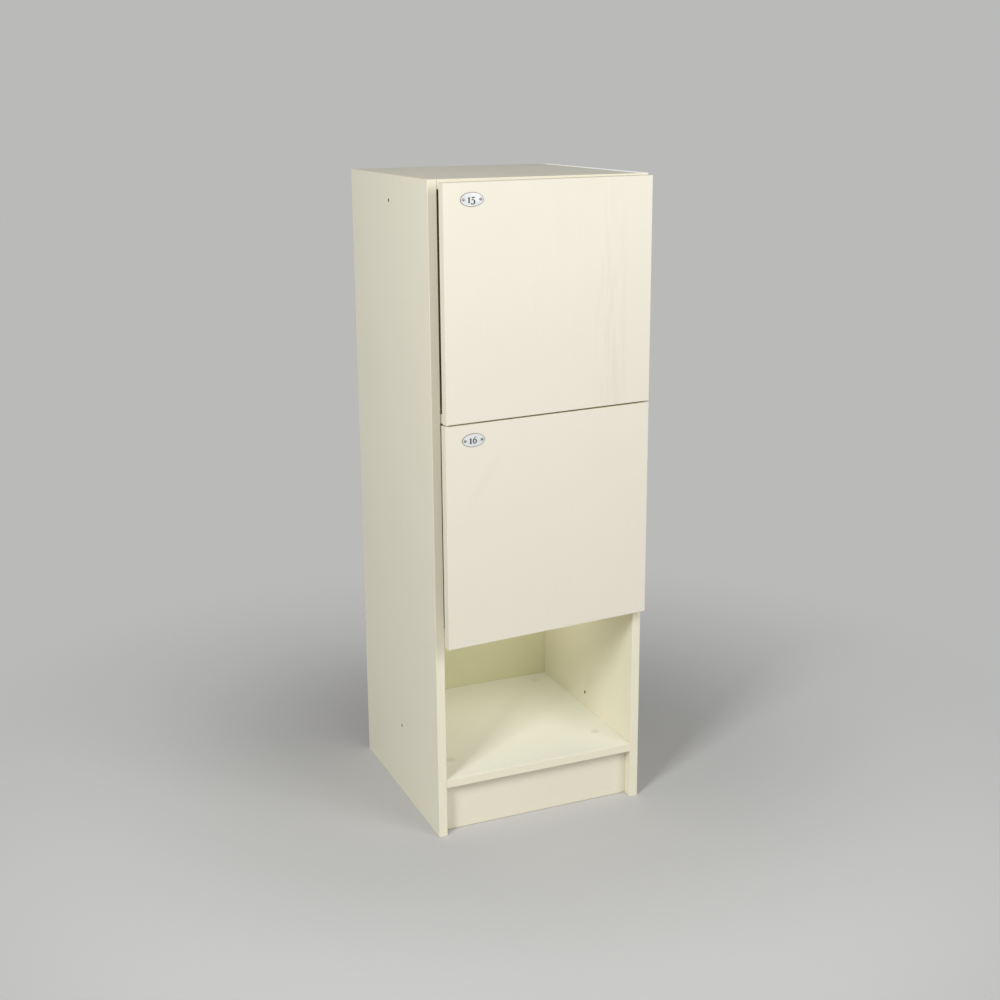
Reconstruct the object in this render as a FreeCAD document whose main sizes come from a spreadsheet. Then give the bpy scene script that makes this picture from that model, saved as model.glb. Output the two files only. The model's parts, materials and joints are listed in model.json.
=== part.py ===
"""Locker unit for a mudroom: a cream board carcass with two handleless doors over an open cubby.

Lengths are in millimetres. The frame has +X to the right, +Y to the back and +Z up. The origin is on the
floor, in the middle of the ground that the unit covers with its doors ajar.
"""
import FreeCAD
import Part
import Sketcher
import math
import os
import re

SIZES = (
    ("unit_width", 400.0, "over the side panels"),
    ("unit_depth", 400.0, "side panels, front edge to rear edge"),
    ("unit_height", 1156.0, "floor to the top face"),
    ("board", 16.0, "carcass board thickness"),
    ("edge_round", 1.0, "rounding of the edge banding"),
    ("shelf_setback", 1.0, "front edges of the inner boards, behind the side panels"),
    ("plinth_height", 92.0, "floor to the underside of the bottom shelf"),
    ("plinth_setback", 20.0, "plinth face, behind the side panels"),
    ("plinth_lift", 1.0, "plinth clear of the floor"),
    ("back_board", 8.0, "back panel thickness"),
    ("back_setback", 11.0, "rear face of the back panel, inside the rear edges"),
    ("groove_depth", 8.0, "grooves that hold the back panel"),
    ("groove_clear", 0.1, "play on each face of the back panel"),
    ("back_end_clear", 0.5, "play at the edges of the back panel"),
    ("link_hole", 6.5, "through holes that join one unit to the next"),
    ("link_front", 192.0, "link holes, behind the front edge"),
    ("link_low", 136.5, "height of the lower link holes"),
    ("link_drop", 44.0, "upper link holes, below the top face"),
    ("door_board", 16.0, "door thickness"),
    ("door_height", 387.5, "each door"),
    ("door_reveal", 1.5, "door edges, inside the unit's sides"),
    ("door_top_reveal", 2.5, "upper door, below the top face"),
    ("door_gap", 3.0, "between the two doors"),
    ("door_stand_off", 3.0, "behind a closed door"),
    ("door_lap", 2.5, "lower door, below the cubby's top shelf"),
    ("door_round", 1.0, "rounding of the door's edges"),
    ("upper_ajar", 5.8, "degrees that the upper door stands open"),
    ("lower_ajar", 5.15, "degrees that the lower door stands open"),
    ("cam_hole", 15.0, "cam lock hole"),
    ("cam_hole_depth", 13.0, "cam lock hole"),
    ("cam_height", 10.5, "cam lock"),
    ("cam_clear", 0.1, "around a cam lock, a bolt or a dowel"),
    ("cam_slot", 8.4, "mouth of the cam lock that takes the bolt head"),
    ("cam_cross", 2.0, "width of the cross slot in a cam lock"),
    ("cam_cross_depth", 1.0, "cross slot in a cam lock"),
    ("cam_cross_length", 9.0, "cross slot in a cam lock"),
    ("cam_end", 37.0, "cam lock, from the end of its board"),
    ("cam_front", 74.0, "front cam locks, behind the front edge of the sides"),
    ("cam_rear", 32.0, "rear cam locks, in front of the back panel"),
    ("bolt_thread", 6.0, "cam bolt in the side panel"),
    ("bolt_anchor", 11.0, "cam bolt in the side panel"),
    ("bolt_collar", 7.8, "cam bolt collar"),
    ("bolt_collar_length", 4.0, "cam bolt collar"),
    ("bolt_neck", 5.0, "cam bolt neck"),
    ("bolt_head", 7.0, "cam bolt head"),
    ("bolt_head_length", 3.0, "cam bolt head"),
    ("cap_lip", 17.0, "cam cover cap"),
    ("cap_lip_height", 0.8, "cam cover cap, over the board"),
    ("cap_plug_depth", 2.4, "cam cover cap, in the hole"),
    ("cap_round", 0.4, "edge of the cam cover cap"),
    ("dowel", 8.0, "wooden dowel"),
    ("dowel_length", 30.0, "wooden dowel"),
    ("dowel_anchor", 9.0, "dowel in the side panel"),
    ("dowel_bevel", 1.0, "bevelled dowel ends"),
    ("dowel_pitch", 32.0, "dowel to its cam bolt"),
    ("plinth_dowel_low", 30.0, "height of the lower plinth dowels"),
    ("block_length", 40.0, "plinth corner block"),
    ("block_side", 20.0, "plinth corner block"),
    ("block_bevel", 8.0, "plinth corner block"),
    ("block_spread", 200.0, "between the two corner blocks"),
    ("wood_screw", 3.5, "chipboard screw"),
    ("wood_screw_head", 7.0, "chipboard screw"),
    ("wood_screw_crown", 1.8, "chipboard screw head"),
    ("wood_screw_bite", 10.0, "chipboard screw, in the board behind"),
    ("screw_clear", 0.05, "around a screw"),
    ("back_screw_edge", 50.0, "outer back screws, from the side panels"),
    ("hinge_inset", 80.0, "hinge centre, from the door's top or bottom edge"),
    ("cup", 35.0, "hinge cup"),
    ("cup_depth", 12.6, "hinge cup, in the door"),
    ("cup_wall", 0.8, "hinge cup"),
    ("cup_edge", 3.0, "hinge cup, from the door's edge"),
    ("cup_clear", 0.1, "around and under the hinge cup"),
    ("flange", 1.0, "cup flange thickness"),
    ("flange_lip", 1.0, "cup flange, around the cup"),
    ("flange_end", 14.0, "width of the flange's rounded ends"),
    ("cup_screw_pitch", 48.0, "between the two cup screws"),
    ("cup_screw_inset", 6.0, "cup screws, inside the cup's centre line"),
    ("pivot_edge", 7.2, "hinge pin, from the door's edge"),
    ("pivot_depth", 9.0, "hinge pin, from the door's back"),
    ("pin", 2.5, "hinge pin"),
    ("pin_clear", 0.05, "running clearance around the hinge pin"),
    ("pin_seat_clear", 0.02, "around the hinge pin in the cup's ears"),
    ("eye", 4.6, "eye of the hinge arm"),
    ("ear", 2.0, "thickness of the cup's ears"),
    ("ear_width", 5.0, "width of the cup's ears"),
    ("ear_clear", 0.3, "between the ears and the eye"),
    ("nose_width", 10.0, "hinge arm inside the cup"),
    ("nose_over", 1.0, "top of the arm's nose, above the pin"),
    ("nose_round", 2.0, "outer bend of the arm's nose"),
    ("arm_lead", 10.9, "arm, beside the pin"),
    ("arm_depth", 10.0, "arm, from its open side to its back"),
    ("arm_width", 13.0, "arm"),
    ("arm_wall", 1.2, "arm"),
    ("arm_reach", 75.0, "rear end of the arm, behind the front edge"),
    ("arm_neck", 4.0, "channel of the arm starts, behind the front edge"),
    ("arm_round", 1.5, "bent edges of the arm"),
    ("plate", 2.0, "mounting plate base"),
    ("plate_setback", 37.0, "mounting plate screws, behind the front edge"),
    ("plate_wing", 50.0, "mounting plate, over its wings"),
    ("plate_wing_width", 14.0, "mounting plate wing"),
    ("plate_screw_pitch", 32.0, "mounting plate screws"),
    ("plate_screw", 5.0, "mounting plate screw"),
    ("plate_screw_bite", 11.0, "mounting plate screw, in the side panel"),
    ("plate_screw_head", 8.0, "mounting plate screw"),
    ("plate_screw_crown", 1.5, "mounting plate screw head"),
    ("plate_round", 3.0, "corners of the mounting plate's wings"),
    ("rail_front", 20.0, "plate rail, behind the front edge"),
    ("rail_rear", 70.0, "plate rail, behind the front edge"),
    ("rail_clear", 0.4, "around the rail in the arm"),
    ("arm_screw", 5.0, "arm screws"),
    ("arm_screw_head", 8.5, "arm screws"),
    ("arm_screw_crown", 2.0, "arm screws"),
    ("arm_screw_bite", 8.0, "arm screws, in the rail"),
    ("fixing_screw_at", 60.0, "arm fixing screw, behind the front edge"),
    ("adjusting_screw_at", 30.0, "arm adjusting screw, behind the front edge"),
    ("latch_inset", 60.0, "push latch, from the left side panel"),
    ("latch_width", 16.0, "push latch housing"),
    ("latch_height", 13.0, "push latch housing"),
    ("latch_length", 64.0, "push latch housing"),
    ("latch_front", 3.4, "push latch housing, behind the front edge"),
    ("latch_round", 4.0, "push latch housing"),
    ("latch_foot", 3.0, "push latch foot thickness"),
    ("latch_foot_width", 38.0, "push latch foot"),
    ("latch_foot_length", 12.0, "push latch foot"),
    ("latch_foot_at", 40.0, "push latch foot, behind the housing's front"),
    ("latch_screw_pitch", 28.0, "push latch screws"),
    ("plunger", 7.0, "push latch plunger"),
    ("plunger_tip", 9.0, "push latch plunger"),
    ("plunger_tip_length", 2.0, "push latch plunger"),
    ("plunger_length", 34.0, "push latch plunger"),
    ("plunger_clear", 0.1, "around the plunger"),
    ("plunger_bore", 40.0, "bore for the plunger"),
    ("tip_clear", 0.2, "plunger tip to a closed door's strike plate"),
    ("tip_round", 0.6, "edge of the plunger's tip"),
    ("strike", 15.0, "strike plate"),
    ("strike_thick", 1.2, "strike plate"),
    ("label_width", 41.5, "oval number plate"),
    ("label_height", 23.0, "oval number plate"),
    ("label_thick", 1.6, "oval number plate"),
    ("label_bevel", 0.7, "edge of the number plate"),
    ("label_edge", 50.5, "number plate centre, from the door's left edge"),
    ("label_drop", 27.0, "number plate centre, below the door's top edge"),
    ("label_screw_pitch", 31.0, "between the number plate's screws"),
    ("label_screw", 2.2, "number plate screw"),
    ("label_screw_head", 5.0, "number plate screw"),
    ("label_screw_crown", 0.9, "number plate screw head"),
    ("label_screw_bite", 9.0, "number plate screw, in the door"),
    ("label_slot", 0.7, "slot of the number plate screw"),
    ("label_slot_depth", 0.4, "slot of the number plate screw"),
    ("overrun", 1.0, "cuts that run past the surface"),
)

document = FreeCAD.newDocument("locker_unit")
sheet = document.addObject("Spreadsheet::Sheet", "sizes")
for row, (alias, number, note) in enumerate(SIZES, 1):
    sheet.set("A%d" % row, alias)
    sheet.set("B%d" % row, str(number))
    sheet.set("C%d" % row, note)
    sheet.setAlias("B%d" % row, alias)
document.recompute()
size = {alias: float(sheet.get(alias)) for alias, number, note in SIZES}
nodes = []

Vector = FreeCAD.Vector
UP = Vector(0, 0, 1)
BACK = Vector(0, 1, 0)
RIGHT = Vector(1, 0, 0)


# Drawing helpers

def formula(text):
    """A formula in the names of the sizes, as the sheet's cells."""
    return re.sub(r"[a-z]\w*", lambda word: "sizes." + word.group(0), text)


def bind(item, field, text):
    item.setExpression(field, formula(text))


def new_body(label):
    body = document.addObject("PartDesign::Body", label)
    body.Label = label
    return body


def new_sketch(body, role, raised="0"):
    """A sketch on one of the body's own planes, raised along that plane's normal."""
    sketch = body.newObject("Sketcher::SketchObject", body.Label + "_sketch")
    plane = next(item for item in body.Origin.OriginFeatures if item.Role == role)
    sketch.AttachmentSupport = [(plane, "")]
    sketch.MapMode = "FlatFace"
    if raised != "0":
        bind(sketch, "AttachmentOffset.Base.z", raised)
    return sketch


def hold(sketch, kind, item, point, text):
    """Hold a point of the sketch on an axis, or at a formula's distance from it."""
    if text == "0":
        axis = -2 if kind == "DistanceX" else -1
        sketch.addConstraint(Sketcher.Constraint("PointOnObject", item, point, axis))
    else:
        index = sketch.addConstraint(Sketcher.Constraint(kind, -1, 1, item, point, 1.0))
        bind(sketch, "Constraints[%d]" % index, text)


def polygon(sketch, points):
    """A closed outline through points, each a pair of formulas."""
    count = len(points)
    first = sketch.GeometryCount
    turns = [-2 * math.pi * step / count for step in range(count + 1)]
    seeds = [Vector(math.cos(turn), math.sin(turn), 0) for turn in turns]
    for step in range(count):
        sketch.addGeometry(Part.LineSegment(seeds[step], seeds[step + 1]), False)
    for step, (across, along) in enumerate(points):
        follower = first + (step + 1) % count
        sketch.addConstraint(Sketcher.Constraint("Coincident", first + step, 2, follower, 1))
        hold(sketch, "DistanceX", first + step, 1, across)
        hold(sketch, "DistanceY", first + step, 1, along)


def rectangle(sketch, left, right, low, high):
    polygon(sketch, ((left, low), (right, low), (right, high), (left, high)))


def circle(sketch, across, along, diameter):
    item = sketch.addGeometry(Part.Circle(Vector(1, 1, 0), UP, 1.0), False)
    hold(sketch, "DistanceX", item, 3, across)
    hold(sketch, "DistanceY", item, 3, along)
    index = sketch.addConstraint(Sketcher.Constraint("Diameter", item, 1.0))
    bind(sketch, "Constraints[%d]" % index, diameter)


def feature(body, kind, sketch, length, reverse=False, middle=False):
    """A pad or a pocket of a sketch, with its length from a formula."""
    item = body.newObject("PartDesign::" + kind, body.Label + "_" + kind.lower())
    item.Profile = sketch
    bind(item, "Length", length)
    item.Reversed = reverse
    if middle:
        item.SideType = "Symmetric"
    sketch.Visibility = False
    return item


def pad(body, sketch, length, reverse=False, middle=False):
    return feature(body, "Pad", sketch, length, reverse, middle)


def pocket(body, sketch, length, reverse=False, middle=False):
    """A pocket, which has to take something away."""
    document.recompute()
    before = body.Shape.Volume
    item = feature(body, "Pocket", sketch, length, reverse, middle)
    document.recompute()
    if not body.Shape.Volume < before:
        raise RuntimeError("a pocket of %s cuts nothing" % body.Label)
    return item


def mirrored(body, item, role):
    """The same feature on the other side of one of the body's planes."""
    mirror = body.newObject("PartDesign::Mirrored", body.Label + "_mirrored")
    mirror.Originals = [item]
    plane = next(part for part in body.Origin.OriginFeatures if part.Role == role)
    mirror.MirrorPlane = (plane, [""])
    body.Tip = mirror
    return mirror


def round_edges(body, radius, wanted):
    """Round the edges of the body whose middle point and direction are wanted."""
    document.recompute()
    base = body.Tip
    names = []
    for index, edge in enumerate(base.Shape.Edges, 1):
        middle = edge.valueAt((edge.FirstParameter + edge.LastParameter) / 2)
        way = edge.tangentAt(edge.FirstParameter)
        if wanted(middle, way):
            names.append("Edge%d" % index)
    item = body.newObject("PartDesign::Fillet", body.Label + "_fillet")
    item.Base = (base, names)
    bind(item, "Radius", radius)
    return item


def near(number, other):
    return math.isclose(number, other, abs_tol=size["edge_round"] / size["unit_height"])


def turned(label, points):
    """A body turned about its own Z axis, from a half section of formula pairs."""
    body = new_body(label)
    sketch = new_sketch(body, "XZ_Plane")
    polygon(sketch, points)
    item = body.newObject("PartDesign::Revolution", label + "_revolution")
    item.Profile = sketch
    item.ReferenceAxis = (sketch, ["V_Axis"])
    item.Angle = 360
    return body


def keep(item, label, placement):
    """Put a sub-part in its place and note it as a node."""
    item.Label = label
    item.Placement = placement
    nodes.append(item)


def group(label, pattern, placements):
    """A node of equal solids, each a copy of the pattern."""
    document.recompute()
    copies = []
    for placement in placements:
        copy = pattern.Shape.copy()
        copy.Placement = placement
        copies.append(copy)
    item = document.addObject("Part::Feature", label)
    item.Shape = Part.makeCompound(copies)
    keep(item, label, FreeCAD.Placement())


def place(x, y, z, axis=UP, angle=0):
    return FreeCAD.Placement(Vector(x, y, z), FreeCAD.Rotation(axis, angle))


# Heights and places that several pieces share, in the carcass frame: x from the middle, y from the front
# edges of the side panels, z from the floor

inner = size["unit_width"] / 2 - size["board"]
back_front = size["unit_depth"] - size["back_setback"] - size["back_board"]
door_width = size["unit_width"] - 2 * size["door_reveal"]
upper_door_top = size["unit_height"] - size["door_top_reveal"]
upper_door_low = upper_door_top - size["door_height"]
lower_door_top = upper_door_low - size["door_gap"]
lower_door_low = lower_door_top - size["door_height"]
door_tops = {"upper": upper_door_top, "lower": lower_door_top}
door_lows = {"upper": upper_door_low, "lower": lower_door_low}
top_low = size["unit_height"] - size["board"]
divider_low = (upper_door_low + lower_door_top - size["board"]) / 2
cubby_top_low = lower_door_low + size["door_lap"]
bottom_low = size["plinth_height"]
rear_cam = back_front - size["cam_rear"]
rear_cam_text = "unit_depth - back_setback - back_board - cam_rear"
pivot_x = size["unit_width"] / 2 - size["door_reveal"] - size["pivot_edge"]
pivot_y = -size["door_stand_off"] - size["pivot_depth"]

# A door's leading corner is the foremost point of the unit, so it sets the origin's place

wide = max(math.radians(size["upper_ajar"]), math.radians(size["lower_ajar"]))
corner_across = door_width - size["pivot_edge"] - size["door_round"]
corner_out = size["door_board"] - size["pivot_depth"] - size["door_round"]
foremost = pivot_y - corner_across * math.sin(wide) - corner_out * math.cos(wide) - size["door_round"]
carcass = place(0, -(size["unit_depth"] + foremost) / 2, 0)


def door_frame(which):
    """The carcass frame turned about the hinge pins, as far as that door stands open."""
    pivot = Vector(pivot_x, pivot_y, 0)
    swing = FreeCAD.Placement(Vector(), FreeCAD.Rotation(UP, size[which + "_ajar"]), pivot)
    return carcass.multiply(swing)


# Side panels

upper_door_low_text = "unit_height - door_top_reveal - door_height"
lower_door_top_text = upper_door_low_text + " - door_gap"
shelf_levels = {
    "top_panel": "unit_height - board/2",
    "locker_divider_shelf": upper_door_low_text + " - door_gap/2",
    "cubby_top_shelf": lower_door_top_text + " - door_height + door_lap + board/2",
    "bottom_shelf": "plinth_height + board/2",
}


def hinge_levels(which):
    return {
        "top": door_tops[which] - size["hinge_inset"],
        "bottom": door_lows[which] + size["hinge_inset"],
    }


def side_panel(label, right):
    """A full-height side whose inner face is the body's YZ plane, bored from that face."""
    body = new_body(label)
    outline = new_sketch(body, "YZ_Plane")
    rectangle(outline, "0", "unit_depth", "0", "unit_height")
    pad(body, outline, "board", reverse=not right)
    round_edges(body, "edge_round", lambda middle, way: near(middle.y, 0) and near(abs(way.z), 1))
    groove = new_sketch(body, "YZ_Plane")
    rectangle(groove, "unit_depth - back_setback - back_board - groove_clear",
              "unit_depth - back_setback + groove_clear",
              "-overrun", "unit_height - board + groove_depth")
    pocket(body, groove, "groove_depth", reverse=right)
    links = new_sketch(body, "YZ_Plane")
    for height in ("link_low", "unit_height - link_drop"):
        circle(links, "link_front", height, "link_hole")
    pocket(body, links, "board + overrun", reverse=right)
    bolts = new_sketch(body, "YZ_Plane")
    dowels = new_sketch(body, "YZ_Plane")
    for middle in shelf_levels.values():
        circle(bolts, "cam_front", middle, "bolt_thread + cam_clear*2")
        circle(bolts, rear_cam_text, middle, "bolt_thread + cam_clear*2")
        circle(dowels, "cam_front - dowel_pitch", middle, "dowel + cam_clear*2")
        circle(dowels, rear_cam_text + " - dowel_pitch", middle, "dowel + cam_clear*2")
    for height in ("plinth_dowel_low", "plinth_dowel_low + dowel_pitch"):
        circle(dowels, "plinth_setback + board/2", height, "dowel + cam_clear*2")
    pocket(body, bolts, "bolt_anchor + cam_clear", reverse=right)
    pocket(body, dowels, "dowel_anchor + cam_clear", reverse=right)
    if right:
        screws = new_sketch(body, "YZ_Plane")
        for door_top in ("unit_height - door_top_reveal", lower_door_top_text):
            for drop in (" - hinge_inset", " - door_height + hinge_inset"):
                for side in (" + ", " - "):
                    height = door_top + drop + side + "plate_screw_pitch/2"
                    circle(screws, "plate_setback", height, "plate_screw + screw_clear*2")
        pocket(body, screws, "plate_screw_bite + cam_clear", reverse=True)
    keep(body, label, carcass.multiply(place(inner if right else -inner, 0, 0)))


side_panel("left_side_panel", right=False)
side_panel("right_side_panel", right=True)


# Boards between the sides

CAMS_ON_TOP = ("bottom_shelf",)
SCREWED_SHELVES = ("locker_divider_shelf", "cubby_top_shelf", "bottom_shelf")
back_front_text = "unit_depth - back_setback - back_board"
back_screw_columns = (
    "board + back_screw_edge - unit_width/2",
    "0",
    "unit_width/2 - board - back_screw_edge",
)
block_screw_columns = {
    "up": ("-block_spread/2 - block_length/4", "block_spread/2 - block_length/4"),
    "forward": ("-block_spread/2 + block_length/4", "block_spread/2 + block_length/4"),
}


def cross_board(label, low, front, rear, grooved=False, latched=False):
    """A board between the sides. Its cam locks go into the face that is the body's XY plane."""
    body = new_body(label)
    up = label in CAMS_ON_TOP
    outline = new_sketch(body, "XY_Plane")
    rectangle(outline, "board - unit_width/2", "unit_width/2 - board", front, rear)
    pad(body, outline, "board", reverse=up)
    edge = size["shelf_setback"] if front == "shelf_setback" else 0
    round_edges(body, "edge_round", lambda middle, way: near(middle.y, edge) and near(abs(way.x), 1))
    cams = new_sketch(body, "XY_Plane")
    for across in ("board + cam_end - unit_width/2", "unit_width/2 - board - cam_end"):
        circle(cams, across, "cam_front", "cam_hole")
        circle(cams, across, rear_cam_text, "cam_hole")
    pocket(body, cams, "cam_hole_depth", reverse=not up)
    level = "-board/2" if up else "board/2"
    bolts = new_sketch(body, "YZ_Plane", "unit_width/2 - board")
    circle(bolts, "cam_front", level, "bolt_collar + cam_clear*2")
    circle(bolts, rear_cam_text, level, "bolt_collar + cam_clear*2")
    mirrored(body, pocket(body, bolts, "cam_end"), "YZ_Plane")
    dowels = new_sketch(body, "YZ_Plane", "unit_width/2 - board")
    circle(dowels, "cam_front - dowel_pitch", level, "dowel + cam_clear*2")
    circle(dowels, rear_cam_text + " - dowel_pitch", level, "dowel + cam_clear*2")
    mirrored(body, pocket(body, dowels, "dowel_length - dowel_anchor + cam_clear"), "YZ_Plane")
    if grooved:
        groove = new_sketch(body, "XY_Plane")
        rectangle(groove, "board - unit_width/2 - overrun", "unit_width/2 - board + overrun",
                  "unit_depth - back_setback - back_board - groove_clear",
                  "unit_depth - back_setback + groove_clear")
        pocket(body, groove, "groove_depth", reverse=True)
    else:
        screws = new_sketch(body, "XZ_Plane", "-(%s)" % back_front_text)
        for across in back_screw_columns:
            circle(screws, across, level, "wood_screw + screw_clear*2")
        pocket(body, screws, "wood_screw_bite + cam_clear", reverse=True)
    if latched:
        screws = new_sketch(body, "XY_Plane")
        for side in (" - ", " + "):
            circle(screws, "board + latch_inset - unit_width/2" + side + "latch_screw_pitch/2",
                   "latch_front + latch_foot_at + latch_foot_length/2", "wood_screw + screw_clear*2")
        pocket(body, screws, "wood_screw_bite + cam_clear", reverse=True)
    if label == "bottom_shelf":
        screws = new_sketch(body, "XY_Plane", "-board")
        for across in block_screw_columns["up"]:
            circle(screws, across, "plinth_setback + board + block_side/2", "wood_screw + screw_clear*2")
        pocket(body, screws, "wood_screw_bite + cam_clear", reverse=True)
    keep(body, label, carcass.multiply(place(0, 0, low + (size["board"] if up else 0))))


cross_board("top_panel", top_low, "0", "unit_depth", grooved=True, latched=True)
cross_board("locker_divider_shelf", divider_low, "shelf_setback", back_front_text, latched=True)
cross_board("cubby_top_shelf", cubby_top_low, "shelf_setback", back_front_text)
cross_board("bottom_shelf", bottom_low, "shelf_setback", back_front_text)


def plinth_board():
    """The board under the bottom shelf, doweled into both sides and clear of the floor."""
    body = new_body("plinth_board")
    outline = new_sketch(body, "XZ_Plane")
    rectangle(outline, "board - unit_width/2", "unit_width/2 - board", "plinth_lift", "plinth_height")
    pad(body, outline, "board", reverse=True)
    dowels = new_sketch(body, "YZ_Plane", "unit_width/2 - board")
    for height in ("plinth_dowel_low", "plinth_dowel_low + dowel_pitch"):
        circle(dowels, "board/2", height, "dowel + cam_clear*2")
    mirrored(body, pocket(body, dowels, "dowel_length - dowel_anchor + cam_clear"), "YZ_Plane")
    screws = new_sketch(body, "XZ_Plane", "-board")
    for across in block_screw_columns["forward"]:
        circle(screws, across, "plinth_height - (block_side - block_bevel)/2", "wood_screw + screw_clear*2")
    pocket(body, screws, "wood_screw_bite + cam_clear", reverse=True)
    keep(body, "plinth_board", carcass.multiply(place(0, size["plinth_setback"], 0)))


def back_panel():
    """The thin panel that slides up in the grooves of the sides and the top."""
    body = new_body("back_panel")
    outline = new_sketch(body, "XZ_Plane")
    half = "unit_width/2 - board + groove_depth - back_end_clear"
    rectangle(outline, "-(%s)" % half, half, "plinth_height",
              "unit_height - board + groove_depth - back_end_clear")
    pad(body, outline, "back_board", reverse=True)
    screws = new_sketch(body, "XZ_Plane")
    for label in SCREWED_SHELVES:
        for across in back_screw_columns:
            circle(screws, across, shelf_levels[label], "wood_screw + screw_clear*2")
    pocket(body, screws, "back_board + overrun")
    keep(body, "back_panel", carcass.multiply(place(0, back_front, 0)))


plinth_board()
back_panel()


# Knock-down fittings: cam locks, cam bolts, cover caps and dowels

board_lows = {
    "top_panel": top_low,
    "locker_divider_shelf": divider_low,
    "cubby_top_shelf": cubby_top_low,
    "bottom_shelf": bottom_low,
}
SIDES = (-1, 1)
INWARD_ANGLES = {-1: 90, 1: -90}
TURN_OVER_ANGLE = 180


def cam_lock():
    """A round cam with a mouth for the bolt head in its side and a cross slot in its top."""
    body = new_body("cam_lock_pattern")
    outline = new_sketch(body, "XY_Plane")
    circle(outline, "0", "0", "cam_hole - cam_clear*2")
    pad(body, outline, "cam_height")
    mouth = new_sketch(body, "YZ_Plane", "-bolt_head_length")
    circle(mouth, "0", "cam_hole_depth - board/2", "cam_slot")
    pocket(body, mouth, "cam_hole", reverse=True)
    for wide, deep in (("cam_cross_length", "cam_cross"), ("cam_cross", "cam_cross_length")):
        slot = new_sketch(body, "XY_Plane", "cam_height")
        rectangle(slot, "-%s/2" % wide, "%s/2" % wide, "-%s/2" % deep, "%s/2" % deep)
        pocket(body, slot, "cam_cross_depth")
    return body


cam_bolt = turned("cam_bolt_pattern", (
    ("0", "-bolt_anchor"),
    ("bolt_thread/2", "-bolt_anchor"),
    ("bolt_thread/2", "0"),
    ("bolt_collar/2", "0"),
    ("bolt_collar/2", "bolt_collar_length"),
    ("bolt_neck/2", "bolt_collar_length"),
    ("bolt_neck/2", "cam_end - bolt_head_length/2"),
    ("bolt_head/2", "cam_end - bolt_head_length/2"),
    ("bolt_head/2", "cam_end + bolt_head_length/2"),
    ("0", "cam_end + bolt_head_length/2"),
))
cover_cap = turned("cover_cap_pattern", (
    ("0", "-cap_plug_depth"),
    ("cam_hole/2 - cam_clear", "-cap_plug_depth"),
    ("cam_hole/2 - cam_clear", "0"),
    ("cap_lip/2", "0"),
    ("cap_lip/2", "cap_lip_height - cap_round"),
    ("cap_lip/2 - cap_round", "cap_lip_height"),
    ("0", "cap_lip_height"),
))
dowel = turned("dowel_pattern", (
    ("0", "-dowel_anchor"),
    ("dowel/2 - dowel_bevel", "-dowel_anchor"),
    ("dowel/2", "dowel_bevel - dowel_anchor"),
    ("dowel/2", "dowel_length - dowel_anchor - dowel_bevel"),
    ("dowel/2 - dowel_bevel", "dowel_length - dowel_anchor"),
    ("0", "dowel_length - dowel_anchor"),
))
locks, bolts, caps, dowels = [], [], [], []
for label, low in board_lows.items():
    up = label in CAMS_ON_TOP
    face = low + size["board"] if up else low
    floor = face - size["cam_hole_depth"] if up else face + size["cam_hole_depth"]
    for side in SIDES:
        for row in (size["cam_front"], rear_cam):
            across = side * (inner - size["cam_end"])
            middle = low + size["board"] / 2
            mouth = place(0, 0, 0, UP, 0 if side > 0 else TURN_OVER_ANGLE)
            tip = place(0, 0, 0, RIGHT, 0 if up else TURN_OVER_ANGLE)
            locks.append(carcass.multiply(place(across, row, floor)).multiply(tip).multiply(mouth))
            caps.append(carcass.multiply(place(across, row, face)).multiply(tip))
            end = place(side * inner, row, middle, BACK, INWARD_ANGLES[side])
            bolts.append(carcass.multiply(end))
            dowels.append(carcass.multiply(place(0, -size["dowel_pitch"], 0)).multiply(end))
for side in SIDES:
    for height in (size["plinth_dowel_low"], size["plinth_dowel_low"] + size["dowel_pitch"]):
        row = size["plinth_setback"] + size["board"] / 2
        dowels.append(carcass.multiply(place(side * inner, row, height, BACK, INWARD_ANGLES[side])))
group("cam_locks", cam_lock(), locks)
group("cam_bolts", cam_bolt, bolts)
group("cam_cover_caps", cover_cap, caps)
group("panel_dowels", dowel, dowels)


# Screws with a low round head, turned about Z with the head's seat at z 0

def pan_screw(label, shank, head, crown, length):
    return turned(label, (
        ("0", "-(%s)" % length),
        ("%s/2" % shank, "-(%s)" % length),
        ("%s/2" % shank, "0"),
        ("%s/2" % head, "0"),
        ("%s/2" % head, "%s/2" % crown),
        ("%s/2 - %s/2" % (head, crown), crown),
        ("0", crown),
    ))


def wood_screw(label, through):
    length = through + " + wood_screw_bite"
    return pan_screw(label, "wood_screw", "wood_screw_head", "wood_screw_crown", length)


HEAD_BACK_ANGLE = -90
HEAD_FRONT_ANGLE = 90
HEAD_LEFT_ANGLE = -90

back_screws = []
for label in SCREWED_SHELVES:
    for across in (size["back_screw_edge"] - inner, 0, inner - size["back_screw_edge"]):
        height = board_lows[label] + size["board"] / 2
        seat = place(across, back_front + size["back_board"], height, RIGHT, HEAD_BACK_ANGLE)
        back_screws.append(carcass.multiply(seat))
group("back_panel_screws", wood_screw("back_screw_pattern", "back_board"), back_screws)


def corner_block():
    """A bevelled block under the bottom shelf and behind the plinth, bored for a screw each way."""
    body = new_body("corner_block_pattern")
    outline = new_sketch(body, "YZ_Plane")
    polygon(outline, (("0", "0"), ("0", "-block_side"), ("block_side - block_bevel", "-block_side"),
                      ("block_side", "block_bevel - block_side"), ("block_side", "0")))
    pad(body, outline, "block_length", middle=True)
    upward = new_sketch(body, "XY_Plane")
    circle(upward, "-block_length/4", "block_side/2", "wood_screw + screw_clear*2")
    pocket(body, upward, "block_side + overrun")
    forward = new_sketch(body, "XZ_Plane")
    circle(forward, "block_length/4", "(block_bevel - block_side)/2", "wood_screw + screw_clear*2")
    pocket(body, forward, "block_side + overrun")
    return body


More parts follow.
